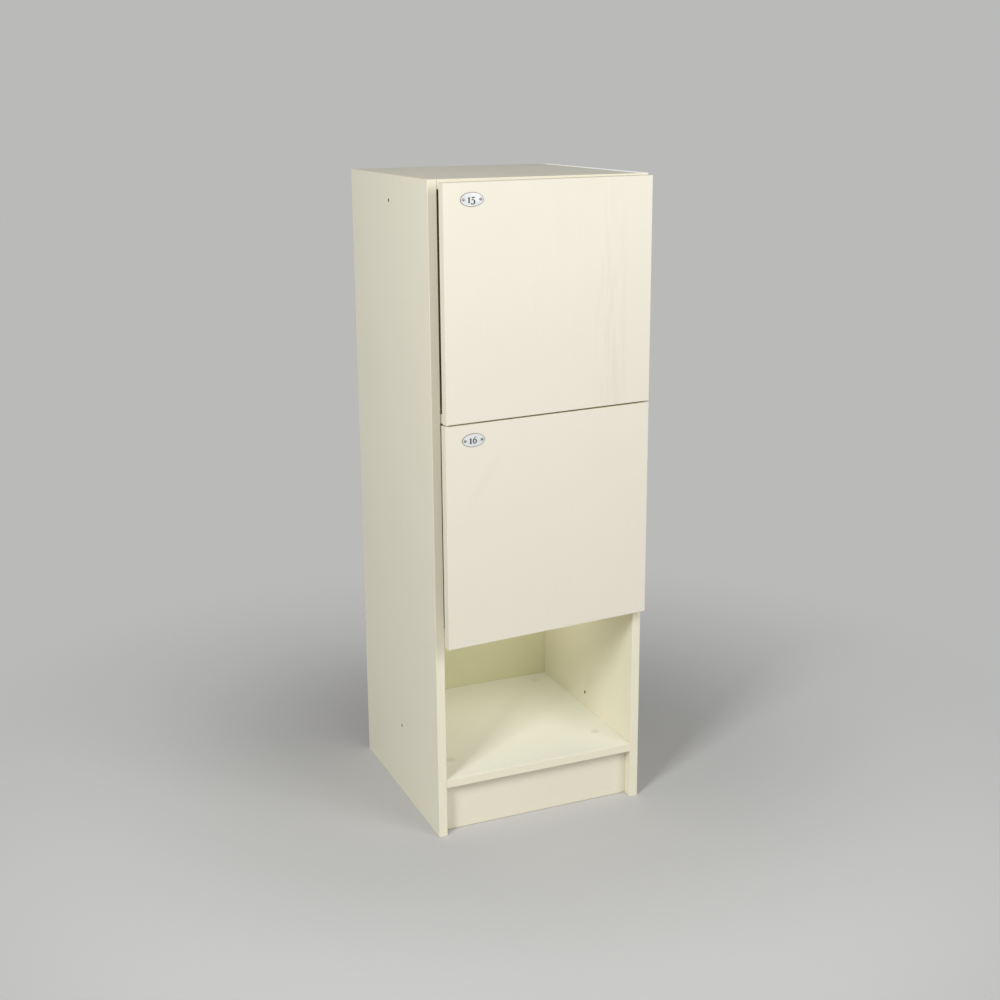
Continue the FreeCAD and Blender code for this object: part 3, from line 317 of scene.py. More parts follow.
def screw_grid(head, crown, whole, arms, width, reach, depth):
    """A screw about +Z with the underside of its head at z 0, from the middle of its head to its tip.

    The crown's height at radius r is crown (1 - 0.45 (r/R)^3). Inside the recess it is the crown less the
    depth. The columns on both sides of a recess wall stand at the angle asin(w / r), so that the wall
    keeps the distance w from the arm's middle line and runs straight.
    """
    edge, shank, half = head / 2, head * 0.25, width / 2
    hub = half * (1.5 if arms == 4 else 1.1)
    radii = np.array((hub * 0.4, hub * 0.96, hub * 1.04, reach * 0.48, reach * 0.5, edge * 0.82,
                      edge * 0.95, edge, edge, edge * 0.97, shank, shank * 0.96, shank * 0.15))
    crowned = crown * (1 - 0.45 * (np.minimum(radii, edge) / edge) ** 3)
    heights = crowned.copy()
    heights[7:] = (crown * 0.45, crown * 0.12, 0.0, 0.0, -0.85 * (whole - crown), crown - whole)
    sector = 2 * math.pi / arms
    walls = np.array((-1.14, -1.0, 1.0, 1.14)) * half
    limit = math.sin(sector * 0.44)
    wall_angles = np.arcsin(np.clip(walls / radii[:, None], -limit, limit))
    last = wall_angles[:, 3:]
    between = last + np.array((0.25, 0.5, 0.75)) * (sector - 2 * last)
    one_arm = np.concatenate((wall_angles, between), axis=1)
    angles = (one_arm[:, None, :] + sector * np.arange(arms)[:, None]).reshape(len(radii), -1)
    in_arm = np.tile(np.array((False, True, True, False, False, False, False)), arms)
    sunk = np.zeros(angles.shape, bool)
    sunk[:2] = True
    sunk[2:4] = in_arm
    if arms == 2:
        sunk[4:8] = in_arm
    floor = np.minimum(heights[:, None], crown - depth)
    height = np.where(sunk, floor, heights[:, None])
    return np.stack((radii[:, None] * np.cos(angles), radii[:, None] * np.sin(angles), height), axis=-1)


def turned_grid(profile, columns=40):
    """A shape turned about +Z: each row of the profile, a radius and a height, goes round the axis."""
    radius, height = np.array(profile).T
    turn = np.linspace(0.0, 2 * math.pi, columns, endpoint=False)
    return np.stack((radius[:, None] * np.cos(turn), radius[:, None] * np.sin(turn),
                     height[:, None] + 0 * turn), axis=-1)


def cap_grid(radius, lip, plug, groove):
    """A cover cap with its outer face at z 0, a low dome with a ring groove, a rounded lip and a plug."""
    return turned_grid((
        (radius * 0.1, 0.0), (radius * 0.45, -lip * 0.06), (radius * 0.6, -lip * 0.1),
        (radius * 0.64, -lip * 0.12 - groove), (radius * 0.7, -lip * 0.13 - groove),
        (radius * 0.74, -lip * 0.15), (radius * 0.88, -lip * 0.25), (radius * 0.95, -lip * 0.4),
        (radius * 0.99, -lip * 0.7), (radius, -lip), (radius * 0.86, -lip), (radius * 0.85, -plug),
        (radius * 0.1, -plug)))


def plate_height(rho, thick, sizes):
    """Height of the enamel over the door at rho, the share of the way from the middle to the edge.

    The screws stand at rho 0.75, where the height is the CAD plate's thickness. The dome falls off with
    the square of rho.
    """
    return thick + sizes.dome * (0.56 - rho ** 2)


def plate_grid(half_width, half_height, thick, sizes):
    """An oval plate with its back at z 0: dome, rolled rim and back, as ovals of growing rho.

    A point is ((a rho - inset) cos t, (b rho - inset) sin t, height). The inset grows with rho to the
    rim's width over the enamel and falls to nothing over the rim, so the rim is as wide at the ends as at
    the sides.
    """
    turn = np.linspace(0.0, 2 * math.pi, 96, endpoint=False)
    dome, rim = np.linspace(0.06, 1.0, ENAMEL_ROWS), (0.9, 0.7, 0.5, 0.3, 0.12, 0.0, 0.0, 0.06, 0.4)
    rho = np.concatenate((dome, np.ones(len(rim))))
    inset = np.concatenate((dome, rim)) * sizes.rim
    edge, bead = plate_height(1.0, thick, sizes), sizes.rim_bead
    height = plate_height(rho, thick, sizes)
    height[ENAMEL_ROWS:] = (edge + bead * 0.8, edge + bead, edge + bead * 0.7, edge - 0.06 * MM,
                            edge - 0.25 * MM, edge - 0.5 * MM, 0.1 * MM, 0.0, 0.0)
    rho, inset = rho[:, None], inset[:, None]
    across, up = half_width * rho - inset, half_height * rho - inset
    return np.stack((across * np.cos(turn), up * np.sin(turn), height[:, None] + 0 * turn), axis=-1)


# Each numeral's width and strokes, in millimetres. A stroke is a middle line of points, each x, y above
# the line that the figures stand on, and half the stroke's width
NUMERALS = {
    "1": (6.2, (
        ((-1.15, 0.4, 1.45), (-1.15, 3.0, 1.2), (-1.15, 6.0, 1.3), (-1.15, 8.2, 1.6)),
        ((-3.2, 7.7, 0.3), (-2.2, 8.25, 0.5), (-1.15, 8.45, 0.55), (0.4, 8.5, 0.35)),
        ((-3.1, 0.35, 0.32), (-1.15, 0.45, 0.5), (0.8, 0.35, 0.32)))),
    "5": (8.4, (
        ((-2.6, 8.6, 0.5), (-2.9, 6.8, 0.42), (-3.2, 4.8, 0.38)),
        ((-2.8, 8.4, 0.95), (-1.0, 8.45, 1.0), (0.8, 8.55, 0.8), (2.2, 9.0, 0.25)),
        ((-3.2, 4.8, 0.35), (-1.5, 5.0, 0.65), (0.4, 4.2, 1.05), (1.4, 1.9, 1.3), (0.6, -0.6, 1.05),
         (-1.1, -1.9, 0.7), (-2.9, -1.9, 0.65), (-4.0, -1.0, 1.0), (-3.7, -0.3, 0.55)))),
    "6": (8.4, (
        ((2.0, 10.0, 0.3), (0.7, 10.8, 0.4), (-1.0, 9.9, 0.6), (-2.7, 7.7, 0.85), (-3.7, 5.1, 1.1),
         (-3.5, 2.4, 1.1), (-2.3, 0.7, 0.75), (-0.8, 0.2, 0.55), (0.9, 1.2, 0.75), (1.8, 3.6, 1.15),
         (1.1, 5.9, 1.05), (-0.5, 6.9, 0.65), (-2.1, 6.5, 0.4), (-3.0, 5.5, 0.3)),)),
}
BASE_LINE = -5.5


def stroke_line(points, steps=7):
    """A Catmull-Rom line through the points: between two of them, a cubic whose slope at each end is half
    the way between that point's neighbours."""
    points = np.array(points)
    padded = np.concatenate((2 * points[:1] - points[1:2], points, 2 * points[-1:] - points[-2:-1]))
    a, b, c, d = padded[:-3, None], padded[1:-2, None], padded[2:-1, None], padded[3:, None]
    t = np.linspace(0.0, 1.0, steps, endpoint=False)[:, None]
    line = b + 0.5 * t * ((c - a) + t * ((2 * a - 5 * b + 4 * c - d) + t * (3 * (b - c) + d - a)))
    return np.concatenate((line.reshape(-1, 3), points[-1:]))


def stroke_grid(points, start, plate, thick, sizes):
    """One stroke of a numeral as a low bar on the enamel, its flat top narrower than its foot.

    A profile of eight points around the stroke is carried along the middle line. The ends are rounded by
    narrowing the profile with the cosine of the way to the end. Each point stands over the enamel's own
    height.
    """
    line = stroke_line(points)
    centre, half = line[:, :2], line[:, 2:]
    along = np.gradient(centre, axis=0)
    along /= np.linalg.norm(along, axis=1, keepdims=True)
    turn = np.linspace(0.0, math.pi / 2, 5)[:, None]
    lead = centre[0] - along[0] * half[0] * 0.35 * np.cos(turn)
    tail = centre[-1] + along[-1] * half[-1] * 0.35 * np.sin(turn)
    centre = np.concatenate((lead, centre[1:-1], tail))
    half = np.concatenate((half[0] * (0.55 + 0.45 * np.sin(turn)), half[1:-1],
                           half[-1] * (0.55 + 0.45 * np.cos(turn))))
    along = np.concatenate((np.repeat(along[:1], 5, 0), along[1:-1], np.repeat(along[-1:], 5, 0)))
    across = np.stack((-along[:, 1], along[:, 0]), axis=-1)
    reach = np.array((-1.0, -0.96, -0.9, 0.9, 0.96, 1.0, 0.9, -0.9))
    rise = np.array((0.0, 0.75, 1.0, 1.0, 0.75, 0.0, -0.8, -0.8))
    flat = centre[:, None] + (half * reach)[:, :, None] * across[:, None]
    flat = (flat + (start, BASE_LINE)) * MM
    rho = np.hypot(flat[..., 0] / plate[0], flat[..., 1] / plate[1])
    height = plate_height(rho, thick, sizes) + rise * sizes.ink
    return np.concatenate((flat, height[..., None]), axis=-1)


# Finishes

class Nodes:
    """Adds nodes to one tree. Each input is a socket to link or a value to set."""

    def __init__(self, tree):
        self.tree = tree

    def put(self, socket, value):
        if isinstance(value, bpy.types.NodeSocket):
            self.tree.links.new(value, socket)
        elif socket.type == "RGBA":
            socket.default_value = (*value, 1.0)[:4]
        else:
            socket.default_value = value

    def fill(self, sockets, values):
        for label, value in values.items():
            self.put(sockets[label], value)

    def add(self, kind, inputs=None, **fields):
        node = self.tree.nodes.new("ShaderNode" + kind)
        for field, value in fields.items():
            setattr(node, field, value)
        self.fill(node.inputs, inputs or {})
        return node

    def math(self, operation, *values, kind="Math"):
        return self.add(kind, dict(enumerate(values)), operation=operation).outputs[0]

    def vector(self, operation, *values):
        return self.math(operation, *values, kind="VectorMath")

    def plus(self, first, second):
        return self.math("ADD", first, second)

    def times(self, first, second):
        return self.math("MULTIPLY", first, second)

    def distance(self, vector):
        return self.add("VectorMath", {0: vector}, operation="LENGTH").outputs["Value"]

    def span(self, value, low, high, to_low=0.0, to_high=1.0):
        ends = {"Value": value, "From Min": low, "From Max": high, "To Min": to_low, "To Max": to_high}
        return self.add("MapRange", ends, interpolation_type="SMOOTHSTEP").outputs["Result"]

    def mix(self, factor, first, second, blend_type="MIX"):
        ends = {0: factor, 6: first, 7: second}
        return self.add("Mix", ends, data_type="RGBA", blend_type=blend_type).outputs[2]

    def shaded(self, colour, shade):
        grey = self.add("CombineColor", {"Red": shade, "Green": shade, "Blue": shade}).outputs[0]
        return self.mix(1.0, colour, grey, "MULTIPLY")

    def noise(self, vector, scale, detail=2.0, roughness=0.5, stretch=None):
        if stretch:
            vector = self.add("Mapping", {"Vector": vector, "Scale": stretch}).outputs["Vector"]
        return self.add("TexNoise", {"Vector": vector, "Scale": scale, "Detail": detail,
                                     "Roughness": roughness}).outputs["Fac"]

    def place(self):
        return self.add("TexCoord").outputs["Object"]

    def group(self, name, **inputs):
        return self.add("Group", inputs, node_tree=bpy.data.node_groups[name]).outputs

    def finish(self, shader, colour, roughness, height, depth, strength, facing=None):
        """Joins colour, roughness and bump to a shader; the bump's depth is in millimetres."""
        bump = self.add("Bump", {"Height": height, "Distance": depth * MM, "Strength": strength})
        if facing is not None:
            self.put(bump.inputs["Normal"], facing)
        self.fill(shader.inputs, {"Base Color": colour, "Roughness": roughness,
                                  "Normal": bump.outputs["Normal"]})


SOCKETS = {"v": "NodeSocketVector", "c": "NodeSocketColor", "f": "NodeSocketFloat"}


def new_group(name, inputs, outputs):
    """An empty shader node group; returns its nodes, and the sockets that come in and go out."""
    tree = bpy.data.node_groups.new(name, "ShaderNodeTree")
    for side, sockets in (("INPUT", inputs), ("OUTPUT", outputs)):
        for socket in sockets.split():
            label, kind = socket.split(":")
            tree.interface.new_socket(label, in_out=side, socket_type=SOCKETS[kind])
    inner = tree.nodes.new("NodeGroupInput").outputs
    outer = tree.nodes.new("NodeGroupOutput").inputs
    return Nodes(tree), inner, outer


def board_print_group():
    """Melamine: a soft cloud over the colour, fine streaks up the board and a pearl-like emboss."""
    nodes, inner, outer = new_group("board_print", "Vector:v Colour:c Streaks:f Clouds:f",
                                    "Colour:c Gloss:f Height:f")
    place = inner["Vector"]
    streak = nodes.noise(place, 1.0, 5.0, 0.62, (150.0, 150.0, 3.0))
    cloud = nodes.noise(place, 4.0, 3.0, 0.55)
    pearl = nodes.noise(place, 1500.0, 1.0, 0.5)
    lines = nodes.times(nodes.span(streak, 0.5, 0.72), inner["Streaks"])
    mist = nodes.times(nodes.span(cloud, 0.35, 0.7), inner["Clouds"])
    shade = nodes.math("SUBTRACT", nodes.math("SUBTRACT", 1.0, lines), mist)
    gloss = nodes.plus(nodes.span(cloud, *NOISE, 0.36, 0.44), nodes.span(streak, 0.4, 0.7, 0.0, 0.06))
    nodes.fill(outer, {"Colour": nodes.shaded(inner["Colour"], shade), "Gloss": gloss,
                       "Height": nodes.plus(nodes.times(streak, 0.5), pearl)})


def edge_band_group():
    """Masks of an edge band: the points near the faces of a box, and the glue line beside them."""
    nodes, inner, outer = new_group("edge_band", "Vector:v Low:v High:v Width:f", "Band:f Seam:f")
    gaps = [nodes.add("SeparateXYZ", {"Vector": nodes.vector("SUBTRACT", *pair)}).outputs
            for pair in ((inner["Vector"], inner["Low"]), (inner["High"], inner["Vector"]))]
    gap, *others = [gap for pair in gaps for gap in pair]
    for other in others:
        gap = nodes.math("MINIMUM", gap, other)
    past = nodes.math("SUBTRACT", gap, inner["Width"])
    seam = nodes.span(nodes.math("ABSOLUTE", past), 0.05 * MM, 0.2 * MM, 1.0, 0.0)
    nodes.fill(outer, {"Band": nodes.span(past, 0.0, 0.06 * MM, 1.0, 0.0), "Seam": seam})


def rubbing_group():
    """A broken mask of handling marks: two scales of noise, cut off at a level that the amount lowers."""
    nodes, inner, outer = new_group("rubbing", "Vector:v Amount:f", "Mask:f")
    patch = nodes.noise(inner["Vector"], 22.0, 4.0, 0.6)
    speck = nodes.noise(inner["Vector"], 260.0, 3.0, 0.6)
    level = nodes.plus(nodes.times(patch, 0.65), nodes.times(speck, 0.35))
    start = nodes.math("SUBTRACT", 0.72, nodes.times(inner["Amount"], 0.3))
    nodes.put(outer["Mask"], nodes.span(level, start, nodes.plus(start, 0.08)))


def chipboard_group():
    """Pressed chips: cells of different browns with a fine fibre, and their height."""
    nodes, inner, outer = new_group("chipboard", "Vector:v Colour:c", "Colour:c Height:f")
    cells = nodes.add("TexVoronoi", {"Vector": inner["Vector"], "Scale": 620.0, "Randomness": 1.0})
    tone = nodes.add("SeparateColor", {"Color": cells.outputs["Color"]}).outputs[0]
    fibre = nodes.noise(inner["Vector"], 900.0, 3.0, 0.6)
    shade = nodes.plus(nodes.span(tone, 0.0, 1.0, 0.55, 1.15), nodes.span(fibre, *NOISE, -0.12, 0.12))
    nodes.fill(outer, {"Colour": nodes.shaded(inner["Colour"], shade), "Height": nodes.plus(tone, fibre)})


def plating_group():
    """Plated metal: rolling lines, and a slight cloud that darkens and dulls it."""
    nodes, inner, outer = new_group("plating", "Vector:v Lines:v Colour:c", "Colour:c Gloss:f Height:f")
    lined = nodes.vector("MULTIPLY", inner["Vector"], inner["Lines"])
    line = nodes.noise(lined, 1.0, 4.0, 0.6)
    cloud = nodes.noise(inner["Vector"], 90.0, 3.0, 0.6)
    shade = nodes.plus(nodes.span(cloud, 0.3, 0.75, 1.0, 0.82), nodes.span(line, *NOISE, -0.05, 0.05))
    gloss = nodes.plus(nodes.span(cloud, 0.35, 0.7, 0.22, 0.36), nodes.span(line, *NOISE, 0.0, 0.1))
    nodes.fill(outer, {"Colour": nodes.shaded(inner["Colour"], shade), "Gloss": gloss, "Height": line})


def moulding_group():
    """Moulded plastic: a fine sparked texture and faint flow marks."""
    nodes, inner, outer = new_group("moulding", "Vector:v Colour:c", "Colour:c Gloss:f Height:f")
    spark = nodes.noise(inner["Vector"], 2600.0, 2.0, 0.6)
    flow = nodes.noise(inner["Vector"], 60.0, 3.0, 0.55)
    shade = nodes.span(flow, *NOISE, 0.94, 1.03)
    nodes.fill(outer, {"Colour": nodes.shaded(inner["Colour"], shade),
                       "Gloss": nodes.span(flow, *NOISE, 0.38, 0.5), "Height": spark})


GROUPS = (board_print_group, edge_band_group, rubbing_group, chipboard_group, plating_group,
          moulding_group)


def new_material(name, **plain):
    """A material with a Principled shader; the plain values are the same all over the surface."""
    material = bpy.data.materials.new(name)
    material.use_nodes = True
    shader = material.node_tree.nodes["Principled BSDF"]
    for label, value in plain.items():
        shader.inputs[label.replace("_", " ")].default_value = value
    return material, Nodes(material.node_tree), shader


def finish_node(node, material):
    """Gives a CAD node a material in its own slots."""
    item = frame["nodes"][node]
    if not item.material_slots:
        item.data.materials.append(material)
    for place in item.material_slots:
        place.material = material


def board_material(name, colour, edge, box, bands, bare=None, highlit=None, ends=None, smears=None,
                   wipe=None, turn=None):
    """Cream melamine with its edge bands.

    The box is the board's own, and what lies deeper inside it, a hole or a groove, is chipboard darkened
    nearly to black as painted shade.
    Bands, bare and highlit are boxes as well: a face of the board that lies in a face of one of them has
    an edge band, is bare chipboard or has a whiter band with its shading leaned to the left, a painted
    highlight as of a proud, rounded edge in the light. Ends is a box too, and a fine joint line runs
    along its faces, chipboard in colour and partly painted shade of the gap. Smears are the two places
    across the board between which ripples run down its front, and wipe is the middle of one slanting
    mark. The turn is undone first where a board stands at an angle, so that its bands follow its edges.
    """
    colours = settings("colours")
    material, nodes, shader = new_material(name, IOR=1.5)
    place = nodes.place()
    if turn is not None:
        back = turn.inverted()
        mapping = nodes.add("Mapping", {"Vector": place, "Location": back.translation,
                                        "Rotation": back.to_euler()})
        place = mapping.outputs["Vector"]

    def near(faces, millimetres):
        return nodes.group("edge_band", Vector=place, Low=faces[0], High=faces[1], Width=millimetres * MM)

    cream = nodes.group("board_print", Vector=place, Colour=colour, Streaks=0.007, Clouds=0.02)
    surface = cream["Colour"]
    if smears or wipe:
        along = nodes.add("SeparateXYZ", {"Vector": place}).outputs
        front = nodes.span(along["Y"], box[0][1], box[0][1] + 1.0 * MM, 1.0, 0.0)
    if smears:
        left, right, top = *smears, box[1][2]
        zone = nodes.times(nodes.span(along["X"], left, left + RIPPLE_SIDE),
                           nodes.span(along["X"], right - RIPPLE_SIDE, right, 1.0, 0.0))
        zone = nodes.times(zone, nodes.span(along["Z"], top - RIPPLE_FADE, top, 1.0, 0.35))
        ripple = nodes.noise(place, 1.0, 2.0, 0.55, RIPPLE_SCALE)
        mark = nodes.times(nodes.span(ripple, 0.44, 0.6), nodes.times(zone, front))
        surface = nodes.mix(nodes.times(mark, RIPPLE_STRENGTH), surface, colours.smear)
    if wipe:
        spot = nodes.add("Mapping", {"Vector": place, "Location": wipe, "Rotation": (0.0, WIPE_LEAN, 0.0),
                                     "Scale": WIPE_REACH}, vector_type="TEXTURE").outputs["Vector"]
        mark = nodes.times(nodes.span(nodes.distance(spot), 0.2, 1.0, 1.0, 0.0), front)
        surface = nodes.mix(nodes.times(mark, WIPE_STRENGTH), surface, colours.smear)
    chips = nodes.group("chipboard", Vector=place, Colour=colours.chip)
    band = near(bands, BAND)
    tint = nodes.mix(band["Band"], surface, edge)
    tint = nodes.mix(nodes.times(band["Seam"], SEAM_STRENGTH), tint, colours.chip)
    rub = nodes.group("rubbing", Vector=place, Amount=0.3)
    worn = nodes.times(nodes.times(rub["Mask"], near(bands, WEAR)["Band"]), WEAR_STRENGTH)
    tint = nodes.mix(worn, tint, colours.chip)
    if ends is not None:
        # Joint line at the board's ends: chipboard in the seam and painted shade of the gap
        tint = nodes.mix(nodes.times(near(ends, JOINT_SHADE)["Band"], JOINT_SHADE_STRENGTH), tint, colours.chip)
    height, gloss = cream["Height"], nodes.plus(cream["Gloss"], nodes.times(worn, 0.8))
    facing = None
    if highlit is not None:
        # Painted highlight: a whiter colour on the top edge, and its shading leaned towards the key lamp
        normal = nodes.add("NewGeometry").outputs["Normal"]
        upward = nodes.span(nodes.add("SeparateXYZ", {"Vector": normal}).outputs["Z"], 0.7, 0.9)
        white = nodes.times(near(highlit, BAND)["Band"], upward)
        tint = nodes.mix(white, tint, colours.highlight_band)
        lean = nodes.add("CombineXYZ", {"X": nodes.times(white, HIGHLIGHT_LEAN[0]),
                                        "Y": nodes.times(white, HIGHLIGHT_LEAN[1])})
        facing = nodes.vector("NORMALIZE", nodes.vector("ADD", normal, lean.outputs[0]))
        material.cycles.use_bump_map_correction = False
    if bare is not None:
        raw = near(bare, RAW)["Band"]
        tint = nodes.mix(raw, tint, chips["Colour"])
        height = nodes.plus(height, nodes.times(chips["Height"], raw))
        gloss = nodes.plus(gloss, nodes.times(raw, 0.35))
    skin_deep = near(box, SKIN)["Band"]
    # Painted shade inside holes and grooves: the chipboard darkened nearly to black
    dark = nodes.mix(1.0, chips["Colour"], colours.hole_shade, "MULTIPLY")
    gloss = nodes.math("MAXIMUM", gloss, nodes.span(skin_deep, 0.0, 1.0, 0.85, 0.0))
    nodes.finish(shader, nodes.mix(skin_deep, dark, tint), gloss, height, 0.05, 0.5, facing)
    return material


def back_board_material():
    """Cream on the face that shows in the lockers, brown hardboard with a net of pressed lines behind."""
    colours = settings("colours")
    material, nodes, shader = new_material("back_board", IOR=1.5)
    rear_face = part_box("back_panel")[1].y
    place = nodes.place()
    # The cream is yellowed as painted bounce light in the cubby
    cream = nodes.group("board_print", Vector=place, Colour=colours.back, Streaks=0.01, Clouds=0.02)
    rear = nodes.group("edge_band", Vector=place, Low=FREE[0], High=(FAR, rear_face, FAR), Width=1.0 * MM)
    fibre = nodes.noise(place, 420.0, 5.0, 0.65)
    cloud = nodes.noise(place, 7.0, 3.0, 0.55)
    shade = nodes.plus(nodes.span(fibre, *NOISE, 0.8, 1.2), nodes.span(cloud, *NOISE, -0.12, 0.12))
    brown = nodes.shaded(colours.hardboard, shade)
    net = [nodes.add("TexWave", {"Vector": place, "Scale": 180.0, "Distortion": 0.2},
                     bands_direction=direction).outputs["Fac"] for direction in "XZ"]
    mesh = nodes.times(nodes.plus(*net), rear["Band"])
    gloss = nodes.plus(cream["Gloss"], nodes.times(rear["Band"], 0.3))
    nodes.finish(shader, nodes.mix(rear["Band"], cream["Colour"], brown), gloss,
                 nodes.plus(cream["Height"], mesh), 0.08, 0.5)
    return material


def metal_material(name, colour, lines, roughness_add=0.0):
    """Plated metal with rolling lines; lines is the scale of their noise on each axis."""
    material, nodes, shader = new_material(name, Metallic=1.0)
    plated = nodes.group("plating", Vector=nodes.place(), Lines=lines, Colour=colour)
    gloss = nodes.plus(plated["Gloss"], roughness_add)
    nodes.finish(shader, plated["Colour"], gloss, plated["Height"], 0.02, 0.4)
    return material


def plastic_material(name, colour):
    """Moulded plastic."""
    material, nodes, shader = new_material(name, IOR=1.5)
    moulded = nodes.group("moulding", Vector=nodes.place(), Colour=colour)
    nodes.finish(shader, moulded["Colour"], moulded["Gloss"], moulded["Height"], 0.02, 0.4)
    return material


def beech_material():
    """Beech: a long grain and the short dark flecks of the wood's rays."""
    colours = settings("colours")
    material, nodes, shader = new_material("beech", IOR=1.5)
    place = nodes.place()
    grain = nodes.noise(place, 1.0, 5.0, 0.6, (14.0, 420.0, 420.0))
    fleck = nodes.noise(place, 1.0, 2.0, 0.5, (230.0, 1500.0, 1500.0))
    shade = nodes.math("SUBTRACT", nodes.span(grain, *NOISE, 1.12, 0.82),
                       nodes.span(fleck, 0.62, 0.72, 0.0, 0.3))
    nodes.finish(shader, nodes.shaded(colours.beech, shade), nodes.span(grain, *NOISE, 0.5, 0.65),
                 nodes.math("SUBTRACT", grain, fleck), 0.1, 0.5)
    return material


def enamel_material():
    """White enamel with a thin bare rim, where the plate's rim attribute is 1."""
    colours = settings("colours")
    material, nodes, shader = new_material("white_enamel", Coat_Roughness=0.06, IOR=1.5)
    place = nodes.place()
    rim = nodes.add("Attribute", attribute_name="rim").outputs["Fac"]
    speck = nodes.noise(place, 900.0, 3.0, 0.6)
    cloud = nodes.noise(place, 120.0, 3.0, 0.55)
    bare = nodes.span(nodes.plus(rim, nodes.span(speck, *NOISE, -0.25, 0.25)), 0.4, 0.75)
    white = nodes.shaded(colours.enamel, nodes.span(cloud, *NOISE, 0.95, 1.02))
    nodes.put(shader.inputs["Coat Weight"], nodes.span(bare, 0.0, 1.0, 0.3, 0.0))
    nodes.finish(shader, nodes.mix(bare, white, colours.rim), nodes.span(bare, 0.0, 1.0, 0.16, 0.42),
                 cloud, 0.06, 0.4)
    return material


def ink_material():
    """Dark fired enamel, a little uneven and worn paler in specks."""
    colours = settings("colours")
    material, nodes, shader = new_material("numeral_ink", IOR=1.5)
    speck = nodes.noise(nodes.place(), 1400.0, 4.0, 0.65)
    worn = nodes.span(speck, 0.62, 0.75, 0.0, 0.35)
    nodes.finish(shader, nodes.mix(worn, colours.ink, colours.rim), nodes.span(speck, *NOISE, 0.24, 0.4),
                 speck, 0.03, 0.4)
    return material


def floor_material():
    """Pale matt floor that turns see-through far out, so that it runs into the backdrop."""
    material, nodes, shader = new_material("studio_floor", Roughness=0.9, Specular_IOR_Level=0.2)
    place = nodes.place()
    shade = nodes.span(nodes.noise(place, 0.8, 2.0, 0.5), *NOISE, 0.985, 1.01)
    away = nodes.distance(place)
    shade = nodes.times(shade, nodes.span(away, 0.35, 1.0, 1.0, 1.3))
    nodes.put(shader.inputs["Base Color"], nodes.shaded(settings("colours").floor, shade))
    clear = nodes.add("BsdfTransparent").outputs[0]
    faded = nodes.add("MixShader", {0: nodes.span(away, 0.3, 1.4), 1: shader.outputs[0], 2: clear})
    nodes.put(material.node_tree.nodes["Material Output"].inputs["Surface"], faded.outputs[0])
    return material


def studio_world(level, backdrop):
    """Even light for the surfaces, and the backdrop's colour for what the camera and reflections see."""
    world = bpy.data.worlds.new("studio_world")
    world.use_nodes = True
    nodes = Nodes(world.node_tree)
    even = world.node_tree.nodes["Background"]
    nodes.fill(even.inputs, {"Color": (1.0, 1.0, 1.0), "Strength": level})
    rays = nodes.add("LightPath").outputs
    seen = nodes.math("MAXIMUM", rays["Is Camera Ray"],
                      nodes.math("MAXIMUM", rays["Is Glossy Ray"], rays["Is Transmission Ray"]))
    pale = nodes.add("Background", {"Color": backdrop, "Strength": 1.0}).outputs[0]
    both = nodes.add("MixShader", {0: seen, 1: even.outputs[0], 2: pale})
    nodes.put(world.node_tree.nodes["World Output"].inputs["Surface"], both.outputs[0])
    return world


# Operators

class LOCKER_OT_boards(bpy.types.Operator):
    """Finishes of the carcass boards and the back panel"""
    bl_idname = "locker.boards"
    bl_label = "Finish the boards"

    def execute(self, context):
        for build in GROUPS:
            build()
        colours = settings("colours")
        # Painted light and shade: lighter shelf and darker plinth copies of the carcass melamine
        own = {"bottom_shelf": colours.shelf, "plinth_board": colours.plinth}
        for node in ("left_side_panel", "right_side_panel", "top_panel", "locker_divider_shelf",
                     "cubby_top_shelf", "bottom_shelf", "plinth_board"):
            low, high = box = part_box(node)
            bands, bare, highlit = ((-FAR, low.y, -FAR), FREE[1]), (FREE[0], (FAR, high.y, FAR)), None
            # Joint lines, partly painted shade, along the board's ends
            ends = (low.x, -FAR, -FAR), (high.x, FAR, FAR)
            if node.endswith("side_panel"):
                bare, ends = ((-FAR, -FAR, low.z), (FAR, high.y, FAR)), None
            if node == "left_side_panel":
                bands = bands[0], (FAR, FAR, high.z)
            if node == "right_side_panel":
                # The right panel's top edge gets the painted highlight
                highlit = FREE[0], (FAR, FAR, high.z)
            if node == "plinth_board":
                bands, bare = ((-FAR, -FAR, low.z), FREE[1]), None
            finish_node(node, board_material("cream_" + node, own.get(node, colours.board), colours.band,
                                             box, bands, bare, highlit, ends))
        finish_node("back_panel", back_board_material())
        return {"FINISHED"}


class LOCKER_OT_doors(bpy.types.Operator):
    """Finishes of the two doors, with bands on all four edges"""
    bl_idname = "locker.doors"
    bl_label = "Finish the doors"

    def execute(self, context):
        colours = settings("colours")
        for which in DOORS:
            node = which + "_door"
            closed = solids(node, swing(which))[0]
            low, high = closed.min(axis=0), closed.max(axis=0)
            bands = (low[0], -FAR, low[2]), (high[0], FAR, high[2])
            smears = wipe = None
            if which == "upper":
                smears = high[0] - RIPPLE_PLACE[0], high[0] - RIPPLE_PLACE[1]
            else:
                wipe = low[0] + WIPE_PLACE[0], low[1], high[2] - WIPE_PLACE[1]
            finish_node(node, board_material("cream_" + node, colours.door, colours.door_band,
                                             (tuple(low), tuple(high)), bands, smears=smears, wipe=wipe,
                                             turn=swing(which)))
        return {"FINISHED"}


